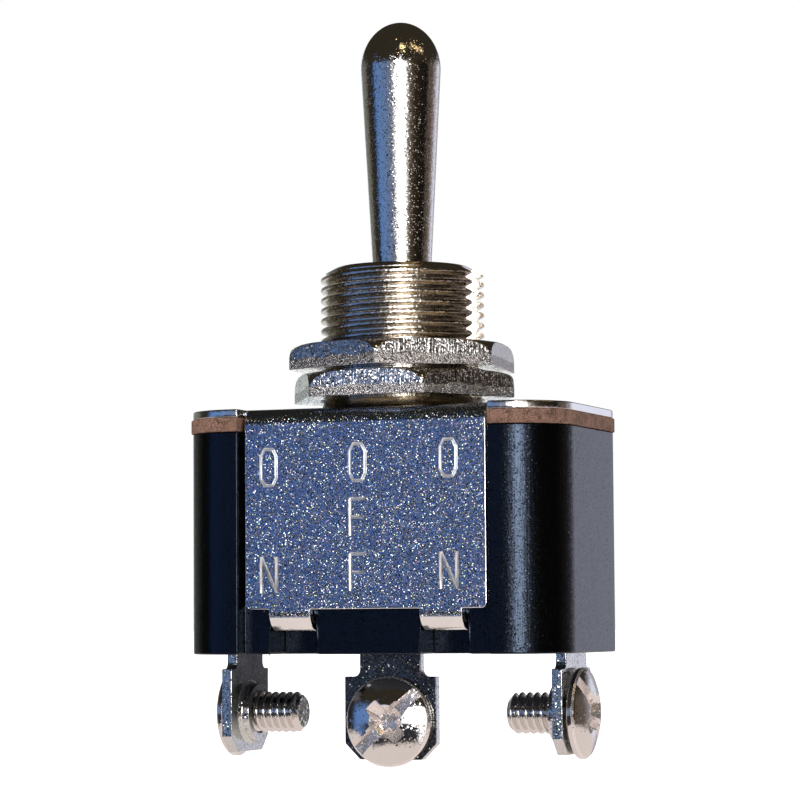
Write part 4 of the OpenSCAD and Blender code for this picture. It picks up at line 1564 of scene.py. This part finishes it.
@dataclass
class TerminalScrew(Part):
    """A terminal screw with a true thread and a combined slot and cross recess.

    Attributes:
        side: The terminal that it is in.
        turn: The slot's angle, in degrees.
        length: The shank's length.
        thread_r: The thread's major radius.
        thread_h: The thread's depth.
        pitch: The thread's pitch.
        tip: The chamfer on the shank's end.
        head_r: The head's radius.
        rim_h: The height of the head's side.
        dome_h: The height of the dome on it.
        soft: The rounding under the head.
        slot_r: Half the slot's width.
        slot_z: The slot's floor.
        wing: Half the length and half the width of the cross's wings.
        wing_z: The wings' floor.
        blade: How far the wings draw in at their floor, along and across.
        cone: The radii of the cross's middle, at its foot and at the top.
        cone_z: The foot of that cone.
    """

    side: Side
    turn: float
    length: float = 5.1 * MM
    thread_r: float = 1.5 * MM
    thread_h: float = 0.34 * MM
    pitch: float = 0.57 * MM
    tip: float = 0.4 * MM
    head_r: float = 3.25 * MM
    rim_h: float = 0.47 * MM
    dome_h: float = 0.83 * MM
    soft: float = 0.12 * MM
    slot_r: float = 0.42 * MM
    slot_z: float = 0.55 * MM
    wing: Flat = (2.1 * MM, 0.62 * MM)
    wing_z: float = 0.2 * MM
    blade: Flat = (0.34, 0.55)
    cone: Flat = (0.25 * MM, 1.5 * MM)
    cone_z: float = 0.16 * MM

    @property
    def tall(self) -> float:
        """The head's height."""
        return self.rim_h + self.dome_h

    @property
    def ball(self) -> Flat:
        """The dome's radius and the height of its centre."""
        radius = (self.head_r**2 + self.dome_h**2) / (2 * self.dome_h)
        return radius, self.tall - radius

    def build(self) -> None:
        """Winds the shank, turns the head, cuts the recess and stands the screw in its lug."""
        thread = Thread(self.thread_r, self.thread_h, self.pitch, 64, 0.0, ROLLED)
        piece = thread.rod(self.node + "_threaded", -self.length, 0.05 * MM)
        full = self.thread_r + 0.02 * MM
        boolean(piece, turned("shank", [
            (0, -self.length), (self.thread_r - self.tip, -self.length),
            (self.thread_r, self.tip - self.length), (full, 0), (full, 0.1 * MM), (0, 0.1 * MM)], 64),
                Cut.KEEP)
        head = self.head()
        boolean(head, self.recess(), Cut.OFF, itself=True)
        tidy(head, 0.004)
        modify(head, "BEVEL", width=0.05 * MM, segments=2, limit_method="ANGLE", angle_limit=radians(35),
               use_clamp_overlap=True)
        boolean(piece, head, Cut.JOIN)
        tidy(piece, 0.0008)
        smooth(piece, 30, flat=False)
        self.dress(piece, SCREW_NICKEL, self.node)
        # The recess is painted pale, as a painted highlight
        self.second_finish(piece, RECESS_HIGHLIGHT_NICKEL, self.is_recess)
        # The shank's end is painted dark, as painted shade
        self.second_finish(piece, SHADED_CUT_END, lambda face: face.center.z < 0.02 * MM - self.length)
        self.stand(piece)

    def is_recess(self, face: MeshPolygon) -> bool:
        """Tells whether a face lies below the dome, in the slot or the cross.

        Args:
            face: The face.

        Returns:
            Whether it does.
        """
        deepest, shallowest, rim, under_head = -1.2 * MM, 0.03 * MM, 0.02 * MM, 2.2 * MM
        radius, centre = self.ball
        z, out = face.center.z, hypot(face.center.x, face.center.y)
        below = centre + sqrt(radius**2 - min(out, self.head_r)**2) - z > shallowest
        return below and z > deepest and out < self.head_r - rim and not (z < 0 and out > under_head)

    def head(self) -> Object:
        """Turns the low domed head.

        Returns:
            The head, standing on Z = 0.
        """
        r, soft, (radius, centre) = self.head_r, self.soft, self.ball
        edge = degrees(atan2(self.rim_h - centre, r))
        return turned("head", [
            (0, 0), (r - soft, 0), (r, soft), (r, self.rim_h - soft * 0.6),
            *arc((0, centre), (radius, radius), edge + 1.4, 89.5, 26), (0, self.tall)], 144)

    def recess(self) -> Object:
        """Makes the slot and the tapered cross as one cutter.

        Returns:
            The cutter.
        """
        top, reach = self.tall + 0.2 * MM, self.head_r + MM
        parts = [block("slot", (-reach, -self.slot_r, self.slot_z), (reach, self.slot_r, top))]
        long, wide = self.wing
        for quarter in range(2):
            wing = block("wing", (-long, -wide, self.wing_z), (long, wide, top))
            with editing(wing):
                bpy.ops.mesh.select_all(action="DESELECT")
                bpy.ops.object.mode_set(mode="OBJECT")
                for corner in wing.data.vertices:
                    corner.select = corner.co.z < self.wing_z + 0.1 * MM
                bpy.ops.object.mode_set(mode="EDIT")
                bpy.ops.transform.resize(value=(*self.blade, 1), center_override=(0, 0, 0))
            if quarter:
                wing.rotation_euler.z = pi / 2
                settle(wing)
            modify(wing, "BEVEL", width=0.08 * MM, segments=1, limit_method="ANGLE")
            parts.append(wing)
        deselect()
        bpy.ops.mesh.primitive_cone_add(vertices=24, radius1=self.cone[0], radius2=self.cone[1],
                                        depth=top - self.cone_z, location=(0, 0, (top + self.cone_z) / 2))
        parts.append(bpy.context.object)
        settle(parts[-1])
        cutter = join(parts)
        cutter.rotation_euler.z = radians(self.turn)
        settle(cutter)
        return cutter

    def stand(self, piece: Object) -> None:
        """Turns the screw to its lug and puts its head where the CAD node's is.

        Args:
            piece: The finished screw, along Z.
        """
        low, high = self.low, self.high
        middle = (low + high) / 2
        if self.side is Side.CENTRE:
            piece.rotation_euler = (pi / 2, 0, 0)
            piece.location = (middle.x, low.y + self.tall, middle.z)
        else:
            piece.rotation_euler = (0, self.side.value * pi / 2, 0)
            outer = high.x - self.tall if self.side is Side.RIGHT else low.x + self.tall
            piece.location = (outer, middle.y, middle.z)
        settle(piece)


@dataclass
class InnerPart(Part):
    """An inner part that keeps its CAD solid and gets a finish.

    Attributes:
        finish: Its finish.
    """

    finish: Finish

    def build(self) -> None:
        """Gives the CAD node its material."""
        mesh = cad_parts[self.node].data
        mesh.materials.clear()
        mesh.materials.append(FINISHES[self.finish.name])
        LOG.info("%s: %s", self.node, self.finish.name)


@dataclass
class PlungerSpring(Part):
    """The spring behind the plunger, which shortens as the plunger slides in.

    Attributes:
        travel: The plunger's travel; not used.
    """

    travel: float = 0.8 * MM

    def build(self) -> None:
        """Copies the wire, smooths it and sets it on the lever's body."""
        piece = clean_copy(self.node, "wound_spring")
        smooth(piece, 50, flat=False)
        self.dress(piece, STEEL, "lever")
        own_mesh(piece)


# ---------------------------------------------------------------- studio


# Degrees round from the camera's side, rightwards, and the colour of the room there
ROOM = (
    (-179, (0.78, 0.8, 0.8)), (-165, (0.36, 0.4, 0.39)), (-152, (0.11, 0.13, 0.12)),
    (-135, (0.15, 0.145, 0.13)), (-124, (0.11, 0.1, 0.09)), (-116, (0.025, 0.024, 0.016)),
    (-90, (0.012, 0.013, 0.016)), (-83, (0.09, 0.18, 0.42)), (-60, (0.105, 0.19, 0.38)),
    (-42, (0.11, 0.165, 0.3)), (-28, (0.17, 0.18, 0.24)), (-20, (0.7, 0.7, 0.75)),
    (-15, (2.0, 2.0, 2.0)), (-10, (2.4, 2.4, 2.4)), (-6, (9.0, 9.0, 9.4)), (3, (9.0, 9.0, 9.4)),
    (7, (2.4, 2.4, 2.4)), (11, (2.0, 2.0, 1.95)), (18, (0.4, 0.38, 0.36)), (28, (0.09, 0.075, 0.06)),
    (42, (0.022, 0.016, 0.008)), (66, (0.006, 0.005, 0.004)), (84, (0.006, 0.005, 0.004)),
    (89, (0.07, 0.054, 0.04)), (106, (0.085, 0.07, 0.062)), (118, (0.22, 0.2, 0.21)),
    (128, (0.4, 0.38, 0.42)), (134, (0.58, 0.6, 0.71)), (146, (0.58, 0.6, 0.71)),
    (152, (0.3, 0.29, 0.33)), (162, (0.2, 0.2, 0.22)), (172, (0.45, 0.46, 0.48)),
)

# Where the dark skirting stands: degrees round, and how much of it there is
SKIRTING = ((-85, 0.0), (-62, 1.0), (0, 1.0), (25, 0.0))

# The lamps in the ceiling: degrees round and up, half the spread in degrees, and the colour
CEILING_LAMPS = ((6, 46, 6, (3.0, 2.3, 1.2)), (44, 47, 4, (2.2, 1.6, 0.8)), (58, 41, 4, (2.2, 1.6, 0.8)),
                 (72, 35, 4, (1.8, 1.4, 0.8)))

# The soft lamps: name, place, size and power
SOFT_LAMPS = (("key", (-0.55, -0.9, 0.9), 0.7, 9.0), ("fill", (0.9, -0.7, 0.35), 0.8, 4.0),
              ("top", (0.0, 0.2, 1.3), 0.9, 7.0))


@dataclass
class Studio:
    """The floor, the lamps, the surroundings and the camera.

    Attributes:
        floor_z: The floor's height.
        aim: The point that the camera looks at.
        azimuth: The camera's side, in degrees from -Y towards +X.
        elevation: The camera's height, in degrees.
        roll: The camera's roll, in degrees.
        distance: The camera's distance from its aim.
        lens: The lens, in millimetres.
        ceiling: Where the ceiling begins and where it is full, as heights up to 1.
        skirting: Where the skirting begins and where it is full, as depths up to 1.
        bench: Where the bench begins and where it is full, as depths up to 1.
        bench_drop: How much lower it begins behind the skirting.
    """

    floor_z: float = CAD_BOX[0][2] - 0.02 * MM
    aim: Point = (-0.213 * MM, -0.083 * MM, -3.914 * MM)
    azimuth: float = 21.173
    elevation: float = -4.128
    roll: float = -0.393
    distance: float = 224.25 * MM
    lens: float = 137.67
    ceiling: Flat = (0.18, 0.3)
    skirting: Flat = (0.045, 0.075)
    bench: Flat = (0.15, 0.22)
    bench_drop: float = 0.28

    def build(self) -> None:
        """Sets up everything round the part."""
        bpy.context.scene.view_settings.view_transform = "Standard"
        self.camera()
        self.floor()
        self.lamps()
        self.surroundings()

    def towards(self, azimuth: float, elevation: float) -> Vector:
        """Returns the direction at two angles, in degrees from -Y towards +X and up."""
        a, e = radians(azimuth), radians(elevation)
        return Vector((sin(a) * cos(e), -cos(a) * cos(e), sin(e)))

    def camera(self) -> None:
        """Places the camera."""
        back = self.towards(self.azimuth, self.elevation)
        data = bpy.data.cameras.new("camera")
        data.lens = self.lens
        data.sensor_width = 36
        data.clip_start = 0.01
        camera = add_object("camera", data)
        camera.rotation_mode = "QUATERNION"
        camera.rotation_quaternion = Quaternion(back, radians(self.roll)) @ back.to_track_quat("Z", "Y")
        camera.location = Vector(self.aim) + back * self.distance
        bpy.context.scene.camera = camera

    def floor(self) -> None:
        """Lays the pale floor, which keeps a trace of the part's shadow and stays out of its mirrors."""
        deselect()
        bpy.ops.mesh.primitive_plane_add(size=6, location=(0, 0, self.floor_z))
        floor = bpy.context.object
        floor.name = "floor"
        floor.visible_glossy = False
        material = bpy.data.materials.new("pale_floor")
        graph = fresh_graph(material)
        seen = graph.add("LightPath").outputs
        matt = graph.add("BsdfDiffuse", Color=(0.86, 0.85, 0.85))
        glow = graph.add("Emission", Color=(1, 1, 1), Strength=0.84)
        bright = graph.add("AddShader")
        graph.fill(bright, matt.outputs[0], glow.outputs[0])
        plain = graph.choose(seen["Is Camera Ray"], matt, bright)
        clear = graph.choose(seen["Is Glossy Ray"], plain, graph.add("BsdfTransparent"))
        graph.add("OutputMaterial", Surface=clear.outputs[0])
        floor.data.materials.append(material)

    def lamps(self) -> None:
        """Hangs the soft lamps."""
        for name, place, size, power in SOFT_LAMPS:
            lamp = bpy.data.lights.new(name, "AREA")
            lamp.size = size
            lamp.energy = power
            holder = add_object(name, lamp)
            holder.location = place
            holder.rotation_euler = Vector(place).to_track_quat("Z", "Y").to_euler()
            holder.visible_glossy = False

    def ring(self, stops: Sequence[tuple[float, object]]) -> list[tuple[float, object]]:
        """Returns stops given in degrees from the camera's side as shares of a full turn."""
        return [((self.azimuth + degree + 180) % 360 / 360, colour) for degree, colour in stops]

    def surroundings(self) -> None:
        """Paints what stands round the part: windows, walls and the pale backdrop behind it."""
        world = bpy.data.worlds.new("room")
        bpy.context.scene.world = world
        graph = fresh_graph(world)
        spot = graph.add("TexCoord").outputs["Generated"]
        x, y, z = graph.split(spot)
        turn = graph.maths("ARCTAN2", x, graph.times(y, -1.0))
        share = graph.plus(graph.maths("DIVIDE", turn, 2 * pi), 0.5)
        room = graph.mix(graph.rise(z, self.ceiling), graph.ramp(share, *self.ring(ROOM)),
                         (0.022, 0.018, 0.012))
        for azimuth, up, spread, colour in CEILING_LAMPS:
            reach = graph.add("VectorMath", operation="DOT_PRODUCT")
            graph.fill(reach, spot, self.towards(self.azimuth + azimuth, up))
            rim = cos(radians(spread))
            room = graph.mix(graph.rise(reach.outputs["Value"], (rim, rim + (1 - rim) * 0.5)), room, colour)
        down = graph.times(z, -1.0)
        behind = graph.ramp(share, *self.ring(SKIRTING))
        room = graph.mix(graph.times(graph.rise(down, self.skirting), behind), room, (0.022, 0.022, 0.026))
        lip = graph.maths("SUBTRACT", down, graph.times(behind, self.bench_drop))
        room = graph.mix(graph.rise(lip, self.bench), room, (0.57, 0.51, 0.49))
        seen = graph.add("LightPath").outputs
        mirrored = graph.add("Background", Color=room, Strength=1.45)
        soft = graph.add("Background", Color=(0.9, 0.93, 1.0), Strength=0.45)
        white = graph.add("Background", Color=(1, 1, 1), Strength=1.0)
        lit = graph.choose(seen["Is Glossy Ray"], soft, mirrored)
        graph.add("OutputWorld", Surface=graph.choose(seen["Is Camera Ray"], lit, white).outputs[0])


def main() -> None:
    """Builds every piece, then the studio."""
    logging.basicConfig(level=logging.INFO, format="%(name)s: %(message)s")
    parts = [EdgedPart("case", "phenolic_case", BLACK_PHENOLIC, 0.12),
             EdgedPart("fibre_insulator", "fibre_sheet", BROWN_FIBRE, 0.08),
             FoldedFrame("steel_frame"), Bushing("bushing"), PanelNut("upper_nut", 38, UPPER_PLATE),
             PanelNut("lower_nut", 0, LOWER_PLATE), BatLever("lever")]
    for side, turn in ((Side.LEFT, 20), (Side.CENTRE, 43), (Side.RIGHT, 40)):
        name = side.name.lower()
        parts += [EdgedPart(f"terminal_{name}", f"lug_{name}", TERMINAL_PLATE, 0.07),
                  TerminalScrew(f"screw_{name}", side, turn)]
    parts += [InnerPart(node, finish) for node, finish in (
        ("pivot_pin", STEEL), ("plunger", ACETAL), ("rocker", COPPER), ("rocker_contact_left", SILVER),
        ("rocker_contact_right", SILVER), ("fixed_contact_left", SILVER), ("fixed_contact_right", SILVER))]
    for part in (*parts, PlungerSpring("plunger_spring"), Studio()):
        part.build()


if __name__ == "__main__":
    main()
